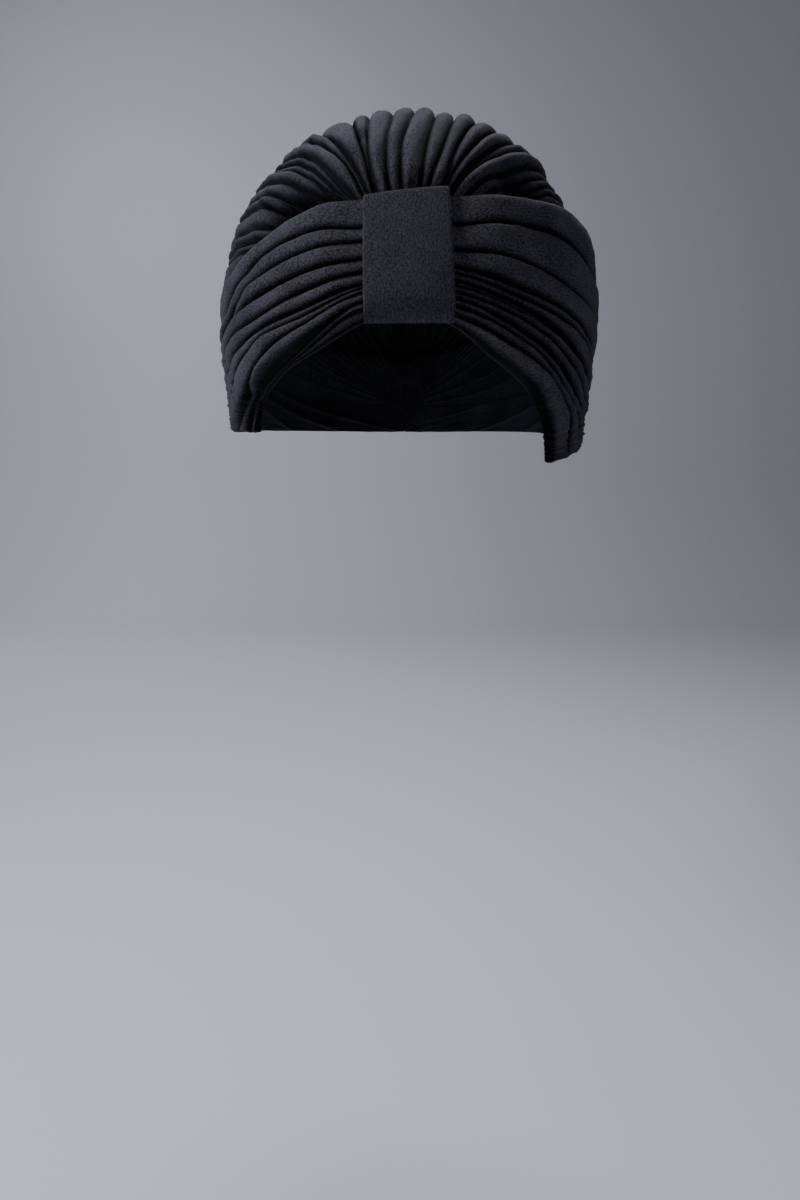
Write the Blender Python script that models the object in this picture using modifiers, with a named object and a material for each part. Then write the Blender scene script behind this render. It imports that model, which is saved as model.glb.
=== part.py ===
"""A pre-tied turban headwrap in pleated jersey: a pleated crown, two pleated wings and a plain centre band.

Metres, +Z up. The front faces -Y and +X is on the right when looking along +Y. The origin is
the middle of the head opening, level with the ears, where the wrap sits.

Everything lies on one smooth head form. A place on it is an angle round the head, in degrees
from the front, and a height. Each cloth piece is a sheet of pleats: the sheet's outer side
stands off the form by a seat height plus the lobe of the pleat, and Solidify gives its wall.
"""

import math

import bpy
import numpy as np

# The head form, measured to the seat of the crown's cloth.
FORM_HALF_WIDTH = 0.0823
FORM_FRONT_DEPTH = 0.100
FORM_BACK_DEPTH = 0.110
FORM_BASE_HEIGHT = 0.058
FORM_DOME_RISE = 0.082
FORM_SKIRT_DROP = 0.300
FORM_ROUNDNESS = 2.05

# Cloth and clearances.
CLOTH_WALL = 0.0015
BAND_WALL = 0.0018
CLEARANCE = 0.0003
SKIN_ROOM = 0.0003
FACET_ROOM = 0.0010

# The crown fans from a gather behind the band, over the top, to a gather at the nape.
FAN_ANGLE = 190.0
GATHER_HEIGHT = 0.066
NAPE_HEIGHT = 0.024
GATHER_OPENING = 6.5
NAPE_OPENING = 7.5
GATHER_LINE = 15.0
CREST_LINE = 38.0
CROWN_PLEAT_HEIGHT = 0.0048
CROWN_TUCK_HEIGHT = 0.0010
CROWN_SINK = 0.0026
CROWN_TUCK_REACH = 0.010
WING_EDGE_ROOM = 0.0020
NAPE_EDGE_ROOM = 0.0120
CROWN_ROWS = 14
END_ROW_CROWDING = 0.45

# The wings wrap from the band, round the sides, down to the hem and the nape.
BROW_HEIGHT = 0.0460
WING_RISE = 0.0435
EAR_DROP = 0.0405
WING_PLEAT_HEIGHT = 0.0046
WING_TUCK_HEIGHT = 0.0012
PLEAT_RISE_RUN = 0.020
WING_FRONT_ROWS = 9
WING_BACK_ROWS = 8
NAPE_ROW_CROWDING = 0.4
HEM_TURN = 0.0040
HEM_TURN_SHARE = 0.08
HEM_SINK = 0.0022
HEM_SINK_REACH = 0.012
NAPE_SEAM_HEIGHT = 0.048
NAPE_HEM_HEIGHT = 0.008
EAR_DIP_SHARPNESS = 3.0
SEAM_HALF_GAP = 0.0006

# The centre band.
BAND_WIDTH = 0.0302
BAND_HEIGHT = 0.0449
BAND_TILT = 0.0030
BAND_BOW = 0.0008
BAND_COLUMNS = 6

# How high a pleat stands for its width, and how many faces cross a big and a small one.
PLEAT_SLENDERNESS = 0.50
BIG_PLEAT_FACES = 4
SMALL_PLEAT_FACES = 2
SMALL_PLEAT_SHARE = 0.022

# Halvings that find where a ray meets the form, the least value that a plan share may have,
# the least step in degrees between two rows, and the most rows' slope that a wing carries on.
RAY_STEPS = 40
SMALLEST_SHARE = 1e-9
SMALLEST_STEP = 1.0
LONGEST_LEAVE = 4.0

# Finish.
CHARCOAL = (0.012, 0.012, 0.014)
BAND_CHARCOAL = (0.014, 0.014, 0.015)
JERSEY_ROUGHNESS = 0.95

SEAT_OF_WING = CROWN_TUCK_HEIGHT - CROWN_SINK + CLEARANCE + CLOTH_WALL + FACET_ROOM
SEAT_OF_BAND = SEAT_OF_WING + WING_TUCK_HEIGHT + CLEARANCE + BAND_WALL + SKIN_ROOM
BAND_FOOT = BROW_HEIGHT - BAND_WALL - CLEARANCE - SKIN_ROOM

# The crown's pleats from left to right: parts of the fan's angle that each takes
# at the gather behind the band and at the crest of the head.
CROWN_PLEATS = [
    {"gather": 9.0, "crest": 9.0},
    {"gather": 8.0, "crest": 8.0},
    {"gather": 5.0, "crest": 5.0},
    {"gather": 3.0, "crest": 3.0},
    {"gather": 3.0, "crest": 4.0},
    {"gather": 8.0, "crest": 6.0},
    {"gather": 3.0, "crest": 4.0},
    {"gather": 4.0, "crest": 5.0},
    {"gather": 5.5, "crest": 2.5},
    {"gather": 3.5, "crest": 2.3},
    {"gather": 3.6, "crest": 2.2},
    {"gather": 6.4, "crest": 8.3},
    {"gather": 2.0, "crest": 5.8},
    {"gather": 4.0, "crest": 10.7},
    {"gather": 2.0, "crest": 6.3},
    {"gather": 8.6, "crest": 8.9},
    {"gather": 7.3, "crest": 6.3},
    {"gather": 13.8, "crest": 6.3},
    {"gather": 8.3, "crest": 6.2},
    {"gather": 7.2, "crest": 7.1},
    {"gather": 2.9, "crest": 6.5},
    {"gather": 3.9, "crest": 7.8},
    {"gather": 2.3, "crest": 5.5},
    {"gather": 8.7, "crest": 6.6},
    {"gather": 4.0, "crest": 1.8},
    {"gather": 5.0, "crest": 2.4},
    {"gather": 5.0, "crest": 3.5},
    {"gather": 11.0, "crest": 9.0},
    {"gather": 11.0, "crest": 10.0},
    {"gather": 10.5, "crest": 10.0},
    {"gather": 10.5, "crest": 10.0},
]

# Dents and swells of the crown: angle round the head, height as a share of the dome's rise,
# reach as a share of the form's half width, and depth as a share of a pleat's height.
CROWN_DENTS = [
    {"angle": -33.0, "height": 0.43, "reach": 0.16, "depth": 1.3},
    {"angle": 48.0, "height": 0.50, "reach": 0.22, "depth": 0.5},
    {"angle": 42.0, "height": 0.84, "reach": 0.40, "depth": -0.6},
    {"angle": -55.0, "height": 0.40, "reach": 0.30, "depth": -0.4},
]

# The sections of each wing, from under the band to the side of the head. Angles are degrees
# from the front. A top height is a share of the wing's rise over the brow, a foot height is a
# share of the drop from the brow to the ear, and a swell at the top is a share of a pleat's
# height. The pleats' widths come from the named column of the wing's table of pleats.
LEFT_SECTIONS = [
    {"top_angle": 0.3, "top": 0.980, "foot_angle": 0.3, "foot": 0.000, "swell": 0.0, "widths": "band"},
    {"top_angle": 10.0, "top": 0.965, "foot_angle": 10.0, "foot": 0.020, "swell": 0.0, "widths": "band"},
    {"top_angle": 25.0, "top": 0.860, "foot_angle": 22.0, "foot": 0.230, "swell": 0.0, "widths": "brow"},
    {"top_angle": 43.0, "top": 0.644, "foot_angle": 35.0, "foot": 0.422, "swell": 0.1, "widths": "temple"},
    {"top_angle": 62.0, "top": 0.493, "foot_angle": 48.0, "foot": 0.673, "swell": 0.0, "widths": "side"},
]
RIGHT_SECTIONS = [
    {"top_angle": 0.3, "top": 1.030, "foot_angle": 0.3, "foot": 0.000, "swell": 0.0, "widths": "band"},
    {"top_angle": 10.0, "top": 1.036, "foot_angle": 9.5, "foot": 0.030, "swell": 0.0, "widths": "band"},
    {"top_angle": 27.0, "top": 1.079, "foot_angle": 22.0, "foot": 0.336, "swell": 0.1, "widths": "brow"},
    {"top_angle": 45.0, "top": 1.099, "foot_angle": 34.0, "foot": 0.596, "swell": 0.3, "widths": "temple"},
    {"top_angle": 66.0, "top": 1.062, "foot_angle": 44.0, "foot": 0.961, "swell": 0.5, "widths": "side"},
]

# Where each wing's hem starts: its angle from the front, and its height as a share of the drop
# from the brow to the ear. The hem runs on round to the nape, where the top pleat ends in a seam.
LEFT_END = {"ear_angle": 58.0, "ear": 1.00}
RIGHT_END = {"ear_angle": 52.0, "ear": 1.327}

# Each wing's pleats from the top edge down: shares of the section that each takes at the
# band, over the brow, at the temple, at the side and at the hem.
LEFT_PLEATS = [
    {"band": 0.256, "brow": 0.173, "temple": 0.152, "side": 0.226, "hem": 0.24},
    {"band": 0.115, "brow": 0.142, "temple": 0.119, "side": 0.074, "hem": 0.15},
    {"band": 0.143, "brow": 0.148, "temple": 0.131, "side": 0.061, "hem": 0.14},
    {"band": 0.108, "brow": 0.129, "temple": 0.147, "side": 0.110, "hem": 0.14},
    {"band": 0.097, "brow": 0.114, "temple": 0.101, "side": 0.130, "hem": 0.12},
    {"band": 0.028, "brow": 0.055, "temple": 0.076, "side": 0.160, "hem": 0.10},
    {"band": 0.039, "brow": 0.072, "temple": 0.142, "side": 0.190, "hem": 0.06},
    {"band": 0.081, "brow": 0.110, "temple": 0.108, "side": 0.025, "hem": 0.03},
    {"band": 0.058, "brow": 0.022, "temple": 0.010, "side": 0.008, "hem": 0.008},
    {"band": 0.075, "brow": 0.035, "temple": 0.014, "side": 0.016, "hem": 0.012},
]
RIGHT_PLEATS = [
    {"band": 0.250, "brow": 0.180, "temple": 0.180, "side": 0.204, "hem": 0.25},
    {"band": 0.197, "brow": 0.220, "temple": 0.238, "side": 0.203, "hem": 0.16},
    {"band": 0.138, "brow": 0.156, "temple": 0.132, "side": 0.111, "hem": 0.13},
    {"band": 0.042, "brow": 0.050, "temple": 0.050, "side": 0.038, "hem": 0.09},
    {"band": 0.060, "brow": 0.048, "temple": 0.067, "side": 0.094, "hem": 0.07},
    {"band": 0.032, "brow": 0.027, "temple": 0.021, "side": 0.025, "hem": 0.06},
    {"band": 0.053, "brow": 0.055, "temple": 0.057, "side": 0.060, "hem": 0.04},
    {"band": 0.047, "brow": 0.062, "temple": 0.065, "side": 0.065, "hem": 0.05},
    {"band": 0.066, "brow": 0.048, "temple": 0.048, "side": 0.060, "hem": 0.05},
    {"band": 0.060, "brow": 0.072, "temple": 0.062, "side": 0.070, "hem": 0.05},
    {"band": 0.055, "brow": 0.082, "temple": 0.080, "side": 0.070, "hem": 0.05},
]

# The band's line from its top fold down its face and under the brow: a height as a share of
# the band's height, and how far it stands off as a share of the band's seat.
BAND_LINE = [
    {"height": 1.000, "off": 0.80},
    {"height": 0.986, "off": 0.94},
    {"height": 0.943, "off": 1.00},
    {"height": 0.772, "off": 1.00},
    {"height": 0.545, "off": 1.00},
    {"height": 0.318, "off": 1.00},
    {"height": 0.167, "off": 0.98},
    {"height": 0.091, "off": 0.86},
    {"height": 0.034, "off": 0.60},
    {"height": 0.008, "off": 0.25},
    {"height": 0.000, "off": -0.20},
]


def smooth_step(value):
    """Rises smoothly from 0 to 1 as the value goes from 0 to 1."""
    t = np.clip(value, 0.0, 1.0)
    return t * t * (3.0 - 2.0 * t)


def clear_scene():
    """Removes every object that the scene starts with."""
    for leftover in list(bpy.data.objects):
        bpy.data.objects.remove(leftover, do_unlink=True)


def form_value(x, y, z):
    """1 on the head form, less inside it and more outside."""
    depth = np.where(y < 0.0, FORM_FRONT_DEPTH, FORM_BACK_DEPTH)
    above = z - FORM_BASE_HEIGHT
    rise = np.where(above > 0.0, FORM_DOME_RISE, FORM_SKIRT_DROP)
    plan = (x / FORM_HALF_WIDTH) ** 2 + (y / depth) ** 2
    return plan ** (FORM_ROUNDNESS / 2.0) + np.abs(above / rise) ** FORM_ROUNDNESS


def form_normal(x, y, z):
    """The direction straight out of the form at a place on it."""
    depth = np.where(y < 0.0, FORM_FRONT_DEPTH, FORM_BACK_DEPTH)
    above = z - FORM_BASE_HEIGHT
    rise = np.where(above > 0.0, FORM_DOME_RISE, FORM_SKIRT_DROP)
    plan = (x / FORM_HALF_WIDTH) ** 2 + (y / depth) ** 2
    steep = np.maximum(plan, SMALLEST_SHARE) ** (FORM_ROUNDNESS / 2.0 - 1.0)
    up = np.abs(above / rise) ** (FORM_ROUNDNESS - 1.0) / rise * np.sign(above)
    out = np.stack([steep * x / FORM_HALF_WIDTH**2, steep * y / depth**2, up], axis=-1)
    return out / np.linalg.norm(out, axis=-1, keepdims=True)


def form_share(height):
    """The form's reach at a height as a share of its reach at its base."""
    above = height - FORM_BASE_HEIGHT
    rise = np.where(above > 0.0, FORM_DOME_RISE, FORM_SKIRT_DROP)
    fall = np.minimum(np.abs(above / rise), 1.0) ** FORM_ROUNDNESS
    return (1.0 - fall) ** (1.0 / FORM_ROUNDNESS)


def place_on_form(angle, height, off):
    """The point at an angle round the head and a height, standing off the form."""
    turn = np.radians(angle)
    depth = np.where(np.cos(turn) > 0.0, FORM_FRONT_DEPTH, FORM_BACK_DEPTH)
    reach = form_share(height) / np.hypot(np.sin(turn) / FORM_HALF_WIDTH, np.cos(turn) / depth)
    x = reach * np.sin(turn)
    y = -reach * np.cos(turn)
    return np.stack([x, y, height], axis=-1) + form_normal(x, y, height) * off[..., None]


def lobe(share):
    """A pleat's round back: 0 in the grooves on both sides and 1 at its ridge."""
    return np.sqrt(np.clip(1.0 - (2.0 * share - 1.0) ** 2, 0.0, 1.0))


def pleat_columns(shares):
    """For each column of a sheet, the pleat that it crosses and how far across that pleat it is."""
    owners = []
    across = []
    for number, share in enumerate(shares):
        big = share > SMALL_PLEAT_SHARE
        faces = BIG_PLEAT_FACES if big else SMALL_PLEAT_FACES
        for step in range(faces):
            owners.append(number)
            across.append(step / faces)
    owners.append(len(shares) - 1)
    across.append(1.0)
    return np.array(owners), np.array(across)


def pleat_shares(pleats, name):
    """The share of the whole that each pleat takes, from one column of its table."""
    parts = np.array([pleat[name] for pleat in pleats])
    return parts / parts.sum()


def column_shares(widths, owners, across):
    """How far across the whole sheet each column lies, for rows of pleat widths."""
    starts = np.cumsum(widths, axis=-1) - widths
    return starts[..., owners] + widths[..., owners] * across


def pleat_stand(widths, owners, across, tallest):
    """How far each column stands up: tall on wide pleats, low on narrow ones."""
    return np.minimum(widths[..., owners] * PLEAT_SLENDERNESS, tallest) * lobe(across)


def back_runs():
    """How far along each back row of a wing lies, crowded towards the tighter bend of the nape."""
    step = np.linspace(0.0, 1.0, WING_BACK_ROWS + 1)[1:]
    return step * (1.0 + NAPE_ROW_CROWDING * (1.0 - step))


def eased_curve(start, end, leave, arrive, run):
    """A smooth curve from a start to an end, with its slope given at both."""
    return (
        start * (1.0 + 2.0 * run) * (1.0 - run) ** 2
        + end * run**2 * (3.0 - 2.0 * run)
        + leave * run * (1.0 - run) ** 2
        + arrive * run**2 * (run - 1.0)
    )


def smooth_path(knots, values, at):
    """A smooth curve through a value at each knot, read at other knots along it."""
    slopes = np.gradient(values, knots, axis=0)
    place = np.clip(np.searchsorted(knots, at, side="right") - 1, 0, len(knots) - 2)
    span = (knots[place + 1] - knots[place]).reshape(-1, *[1] * (values.ndim - 1))
    run = (at - knots[place]).reshape(span.shape) / span
    return eased_curve(values[place], values[place + 1], slopes[place] * span, slopes[place + 1] * span, run)


def wing_sections(sections, shares):
    """The angle, height and swell on every section of a wing, at the columns' shares of it."""
    places = []
    for section, share in zip(sections, shares):
        top = BROW_HEIGHT + WING_RISE * section["top"]
        foot = BROW_HEIGHT - EAR_DROP * section["foot"]
        angle = section["top_angle"] + (section["foot_angle"] - section["top_angle"]) * share
        height = top + (foot - top) * share
        swell = WING_PLEAT_HEIGHT * section["swell"] * (1.0 - share)
        places.append(np.stack([angle, height, swell], axis=-1))
    return np.array(places)


def wing_end(end, share, seam_share):
    """The angle, height and swell where a pleat ends: down the nape seam, then along the hem."""
    ear_height = BROW_HEIGHT - EAR_DROP * end["ear"]
    seam = np.clip(share / seam_share, 0.0, 1.0)
    hem = np.clip((share - seam_share) / (1.0 - seam_share), 0.0, 1.0)
    seam_angle = 180.0 - math.degrees(SEAM_HALF_GAP / FORM_BACK_DEPTH)
    angle = seam_angle + (end["ear_angle"] - seam_angle) * hem
    height = NAPE_SEAM_HEIGHT + (NAPE_HEM_HEIGHT - NAPE_SEAM_HEIGHT) * seam
    height = height + (ear_height - NAPE_HEM_HEIGHT) * hem**EAR_DIP_SHARPNESS
    return np.stack([angle, height, np.zeros_like(angle)], axis=-1)


def wing_places(sections, end, pleats, owners, across):
    """The angle, height and swell at every row and column of a wing, and its pleats' widths."""
    widths = np.array([pleat_shares(pleats, section["widths"]) for section in sections])
    places = wing_sections(sections, column_shares(widths, owners, across))
    knots = np.arange(len(sections), dtype=float)
    at = np.linspace(0.0, knots[-1], WING_FRONT_ROWS)
    front = smooth_path(knots, places, at)
    front_widths = smooth_path(knots, widths, at)
    hem_widths = pleat_shares(pleats, "hem")
    finish = wing_end(end, column_shares(hem_widths, owners, across), hem_widths[0])
    run = back_runs()[:, None, None]
    leave = front[-1] - front[-2]
    rows_left = (finish[:, 0] - front[-1, :, 0]) / np.maximum(leave[:, 0], SMALLEST_STEP)
    leave = leave * np.minimum(rows_left, LONGEST_LEAVE)[:, None]
    back = eased_curve(front[-1], finish, leave, finish - front[-1], run)
    back_widths = front_widths[-1] + (hem_widths - front_widths[-1]) * run[:, 0]
    return np.concatenate([front, back]), np.concatenate([front_widths, back_widths])


def hem_sink(places):
    """How far the cloth sinks to the head towards its hem, below the crown's lower edge."""
    angle = places[..., 0]
    height = places[..., 1]
    back_run = np.concatenate([np.zeros(WING_FRONT_ROWS), back_runs()])[:, None]
    y = place_on_form(angle, height, np.zeros_like(angle))[..., 1]
    below = (crown_axis_height(y) - HEM_SINK_REACH / 2.0 - height) / HEM_SINK_REACH
    return HEM_SINK * back_run * smooth_step(below)


def wing_grid(sections, end, pleats, side):
    """The outer side of one wing, a row for each step from the band to its end."""
    owners, across = pleat_columns(pleat_shares(pleats, "brow"))
    places, widths = wing_places(sections, end, pleats, owners, across)
    angles = places[..., 0]
    heights = places[..., 1]
    line = place_on_form(angles, heights, np.zeros_like(angles))
    length = np.linalg.norm(np.diff(line, axis=1), axis=-1).sum(axis=1)
    from_band = smooth_step((line[..., 0] - BAND_WIDTH / 2.0 - CLEARANCE) / PLEAT_RISE_RUN)
    tallest = WING_TUCK_HEIGHT + (WING_PLEAT_HEIGHT - WING_TUCK_HEIGHT) * from_band
    stand = pleat_stand(widths * length[:, None], owners, across, tallest)
    shares = column_shares(widths, owners, across)
    turned = smooth_step((shares - 1.0 + HEM_TURN_SHARE) / HEM_TURN_SHARE)
    seat = SEAT_OF_WING - (SEAT_OF_WING + HEM_TURN) * turned + places[..., 2] - hem_sink(places)
    points = place_on_form(angles, heights, seat + stand)
    points[..., 0] *= side
    return points[:, ::side]


def wing_top_edge(sections, end, pleats):
    """The angle and height along a wing's top edge, from the band to the nape."""
    places, _ = wing_places(sections, end, pleats, np.zeros(1, dtype=int), np.zeros(1))
    return places[:, 0, 0], places[:, 0, 1]


def crown_cover(points):
    """1 where a wing covers the crown, falling to 0 above the wing's top edge."""
    angle = np.degrees(np.arctan2(points[..., 0], -points[..., 1]))
    left = wing_top_edge(LEFT_SECTIONS, LEFT_END, LEFT_PLEATS)
    right = wing_top_edge(RIGHT_SECTIONS, RIGHT_END, RIGHT_PLEATS)
    left_edge = np.interp(-angle, left[0], left[1])
    right_edge = np.interp(angle, right[0], right[1])
    edge = np.where(angle < 0.0, left_edge, right_edge)
    room = WING_EDGE_ROOM + NAPE_EDGE_ROOM * smooth_step(np.abs(angle) / 90.0 - 1.0)
    return 1.0 - smooth_step((points[..., 2] - edge - room) / CROWN_TUCK_REACH)


def crown_dents(points):
    """How far the crown is pushed in at each point."""
    depth = np.zeros(points.shape[:-1])
    for dent in CROWN_DENTS:
        height = FORM_BASE_HEIGHT + FORM_DOME_RISE * dent["height"]
        middle = place_on_form(np.array(dent["angle"]), np.array(height), np.array(0.0))
        away = np.linalg.norm(points - middle, axis=-1) / (FORM_HALF_WIDTH * dent["reach"])
        depth += CROWN_PLEAT_HEIGHT * dent["depth"] * np.exp(-(away**2))
    return depth


def crown_gathers():
    """The middles of the crown's front gather and of its gather at the nape."""
    front = -FORM_FRONT_DEPTH * form_share(np.array(GATHER_HEIGHT))
    back = FORM_BACK_DEPTH * form_share(np.array(NAPE_HEIGHT))
    return np.array([0.0, front, GATHER_HEIGHT]), np.array([0.0, back, NAPE_HEIGHT])


def crown_axis_height(y):
    """The height of the line between the crown's gathers at a depth."""
    front, back = crown_gathers()
    return front[2] + (back[2] - front[2]) * (y - front[1]) / (back[1] - front[1])


def ray_to_form(start, direction):
    """Where rays from a point inside the form meet it."""
    near = np.zeros(direction.shape[:-1])
    far = near + 2.0 * (FORM_BACK_DEPTH + FORM_DOME_RISE)
    for _ in range(RAY_STEPS):
        middle = (near + far) / 2.0
        x, y, z = np.moveaxis(start + direction * middle[..., None], -1, 0)
        inside = form_value(x, y, z) < 1.0
        near = np.where(inside, middle, near)
        far = np.where(inside, far, middle)
    return start + direction * near[..., None], near


def crown_grid():
    """The outer side of the crown, a row for each step from the front gather to the nape."""
    crest = pleat_shares(CROWN_PLEATS, "crest")
    gather = pleat_shares(CROWN_PLEATS, "gather")
    owners, across = pleat_columns(crest)
    front, back = crown_gathers()
    axis = (back - front) / np.linalg.norm(back - front)
    upright = np.array([0.0, -axis[2], axis[1]])
    sideways = np.array([1.0, 0.0, 0.0])
    steps = np.linspace(0.0, 1.0, CROWN_ROWS)
    steps = steps - END_ROW_CROWDING * np.sin(2.0 * np.pi * steps) / (2.0 * np.pi)
    run = GATHER_OPENING + (180.0 - NAPE_OPENING - GATHER_OPENING) * steps
    toward = smooth_step((run - GATHER_LINE) / (CREST_LINE - GATHER_LINE))[:, None]
    widths = gather + (crest - gather) * toward
    shares = column_shares(widths, owners, across)
    turn = np.radians(FAN_ANGLE * (shares - 0.5))[..., None]
    tip = np.radians(run)[:, None, None]
    direction = -np.cos(tip) * axis + np.sin(tip) * (np.sin(turn) * sideways + np.cos(turn) * upright)
    seat, reach = ray_to_form((front + back) / 2.0, direction)
    pleat_width = widths * math.radians(FAN_ANGLE) * (reach.mean(axis=1) * np.sin(tip[:, 0, 0]))[:, None]
    cover = crown_cover(seat)
    tallest = CROWN_PLEAT_HEIGHT + (CROWN_TUCK_HEIGHT - CROWN_PLEAT_HEIGHT) * cover
    stand = pleat_stand(pleat_width, owners, across, tallest)
    off = stand - CROWN_SINK * cover - crown_dents(seat) * (1.0 - cover)
    return seat + form_normal(seat[..., 0], seat[..., 1], seat[..., 2]) * off[..., None]


def band_grid():
    """The outer side of the centre band, a row for each step of its line."""
    across = np.linspace(-1.0, 1.0, BAND_COLUMNS + 1)
    rows = []
    for step in BAND_LINE:
        lean = BAND_TILT * across / 2.0 * step["height"]
        height = BAND_FOOT + BAND_HEIGHT * step["height"] + lean
        x = across * BAND_WIDTH / 2.0
        y = -FORM_FRONT_DEPTH * np.sqrt(form_share(height) ** 2 - (x / FORM_HALF_WIDTH) ** 2)
        off = SEAT_OF_BAND * step["off"] + BAND_BOW * (1.0 - across**2)
        rows.append(np.stack([x, y, height], axis=-1) + form_normal(x, y, height) * off[:, None])
    return np.array(rows)[:, ::-1]


def sheet_object(name, grid, wall, material):
    """One cloth piece from a grid of points on its outer side, with its wall put on inwards."""
    rows, columns = grid.shape[:2]
    faces = []
    for row in range(rows - 1):
        for column in range(columns - 1):
            corner = row * columns + column
            faces.append((corner, corner + 1, corner + columns + 1, corner + columns))
    mesh = bpy.data.meshes.new(name)
    mesh.from_pydata(grid.reshape(-1, 3).tolist(), [], faces)
    mesh.shade_smooth()
    mesh.materials.append(material)
    piece = bpy.data.objects.new(name, mesh)
    solidify = piece.modifiers.new("wall", "SOLIDIFY")
    solidify.thickness = wall
    solidify.offset = -1.0
    return piece


def cloth_material(name, colour, roughness):
    """A plain matt cloth."""
    material = bpy.data.materials.new(name)
    material.use_nodes = True
    shader = material.node_tree.nodes["Principled BSDF"]
    shader.inputs["Base Color"].default_value = (*colour, 1.0)
    shader.inputs["Roughness"].default_value = roughness
    shader.inputs["Metallic"].default_value = 0.0
    return material


def wing_object(name, sections, end, pleats, side):
    """One wing, in its own jersey."""
    material = cloth_material(name + "_jersey", CHARCOAL, JERSEY_ROUGHNESS)
    return sheet_object(name, wing_grid(sections, end, pleats, side), CLOTH_WALL, material)


def main():
    """Builds the four cloth pieces in their collection."""
    clear_scene()
    crown_cloth = cloth_material("crown_jersey", CHARCOAL, JERSEY_ROUGHNESS)
    band_cloth = cloth_material("centre_band_jersey", BAND_CHARCOAL, JERSEY_ROUGHNESS)
    pieces = [
        sheet_object("crown", crown_grid(), CLOTH_WALL, crown_cloth),
        wing_object("wing_left", LEFT_SECTIONS, LEFT_END, LEFT_PLEATS, -1),
        wing_object("wing_right", RIGHT_SECTIONS, RIGHT_END, RIGHT_PLEATS, 1),
        sheet_object("centre_band", band_grid(), BAND_WALL, band_cloth),
    ]
    collection = bpy.data.collections.new("turban_headwrap")
    bpy.context.scene.collection.children.link(collection)
    for piece in pieces:
        collection.objects.link(piece)


main()
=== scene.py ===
"""Looks of a pre-tied turban headwrap in charcoal brushed jersey.

Each cloth sheet lies on the same smooth form as its solid. A place on the form is an angle round
it, in degrees from the front, and a height. A sheet is a grid of points, a row for each step along
its pleats and a column for each step across them.
"""

import math

import bpy
import numpy as np
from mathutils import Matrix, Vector


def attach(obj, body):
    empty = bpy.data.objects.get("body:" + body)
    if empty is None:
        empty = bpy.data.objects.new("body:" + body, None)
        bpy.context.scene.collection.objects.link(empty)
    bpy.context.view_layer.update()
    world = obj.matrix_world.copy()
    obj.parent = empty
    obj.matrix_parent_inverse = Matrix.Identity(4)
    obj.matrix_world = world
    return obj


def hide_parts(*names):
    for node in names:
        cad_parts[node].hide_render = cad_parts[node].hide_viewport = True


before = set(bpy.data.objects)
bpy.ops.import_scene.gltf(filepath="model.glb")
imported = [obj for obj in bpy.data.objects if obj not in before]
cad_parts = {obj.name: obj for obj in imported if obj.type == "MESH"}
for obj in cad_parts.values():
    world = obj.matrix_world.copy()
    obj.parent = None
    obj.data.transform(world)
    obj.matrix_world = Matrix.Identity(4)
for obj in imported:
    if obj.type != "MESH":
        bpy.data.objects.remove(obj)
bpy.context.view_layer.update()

# The smooth form that the sheets lie on, in metres.
FORM_HALF_WIDTH = 0.0823
FORM_FRONT_DEPTH = 0.100
FORM_BACK_DEPTH = 0.110
FORM_BASE_HEIGHT = 0.058
FORM_DOME_RISE = 0.082
FORM_SKIRT_DROP = 0.300
FORM_ROUNDNESS = 2.05
SMALLEST_SHARE = 1e-9
RAY_STEPS = 32

# Jersey walls and the room between the layers, in metres, and how much of a pleat's stand, droop
# and ripple shows on its underside, as shares.
CLOTH_WALL = 0.0013
BAND_WALL = 0.0018
SEAT_OF_WING = 0.0013
SEAT_OF_BAND = 0.0049
UNDERSIDE_STAND = 0.6
UNDERSIDE_DROOP = 0.5
UNDERSIDE_RIPPLE = 0.5

# The crown: its gathers, its pleats, and how it tucks in under the wings.
FAN_ANGLE = 190.0
GATHER_HEIGHT = 0.066
NAPE_HEIGHT = 0.024
GATHER_OPENING = 6.5
NAPE_OPENING = 7.5
CROWN_PLEAT_HEIGHT = 0.0050
CROWN_TUCK_HEIGHT = 0.0010
CROWN_SINK = 0.0026
CROWN_TUCK_REACH = 0.0070
WING_EDGE_ROOM = 0.0005
NAPE_EDGE_ROOM = 0.0015
SIDE_ANGLE = 90.0
CROWN_ROWS = 120

# The wings.
BROW_HEIGHT = 0.0460
WING_RISE = 0.0435
EAR_DROP = 0.0405
WING_PLEAT_HEIGHT = 0.0048
WING_TUCK_HEIGHT = 0.0012
PLEAT_RISE_RUN = 0.016
WING_FRONT_ROWS = 90
WING_BACK_ROWS = 60
NAPE_ROW_CROWDING = 0.4
HEM_TURN = 0.0040
HEM_TURN_SHARE = 0.08
HEM_SINK = 0.0022
HEM_SINK_REACH = 0.012
NAPE_SEAM_HEIGHT = 0.048
NAPE_HEM_HEIGHT = 0.008
EAR_DIP_SHARPNESS = 3.0
SEAM_HALF_GAP = 0.0004
SMALLEST_STEP = 0.1
LONGEST_LEAVE = 0.44

# The small gathers where the wings are sewn into the seam at the nape.
NAPE_GATHER_DEPTH = 0.0009
NAPE_GATHERS = 11
GATHERED_FROM = 0.78
GATHERED_RUN = 0.22

# The seam at the nape and its stitches.
SEAM_MARGIN = 0.002
SEAM_POINTS = 16
STITCH_SPACING = 0.0026
STITCH_LENGTH = 0.0030
STITCH_RISE = 0.0012
STITCH_TILT = 0.25
THREAD_RADIUS = 0.00022
THREAD_FACES = 6

# The centre band.
BAND_WIDTH = 0.0317
BAND_HEIGHT = 0.0449
BAND_FOOT = 0.0436
BAND_TILT = 0.0030
BAND_SPREAD = 0.085
BAND_SHIFT = -0.0008
BAND_EDGE_ROUND = 0.0007
BAND_EDGE_FACES = 4
BAND_STEP = 0.0006
BAND_LINE_POINTS = 6

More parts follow.
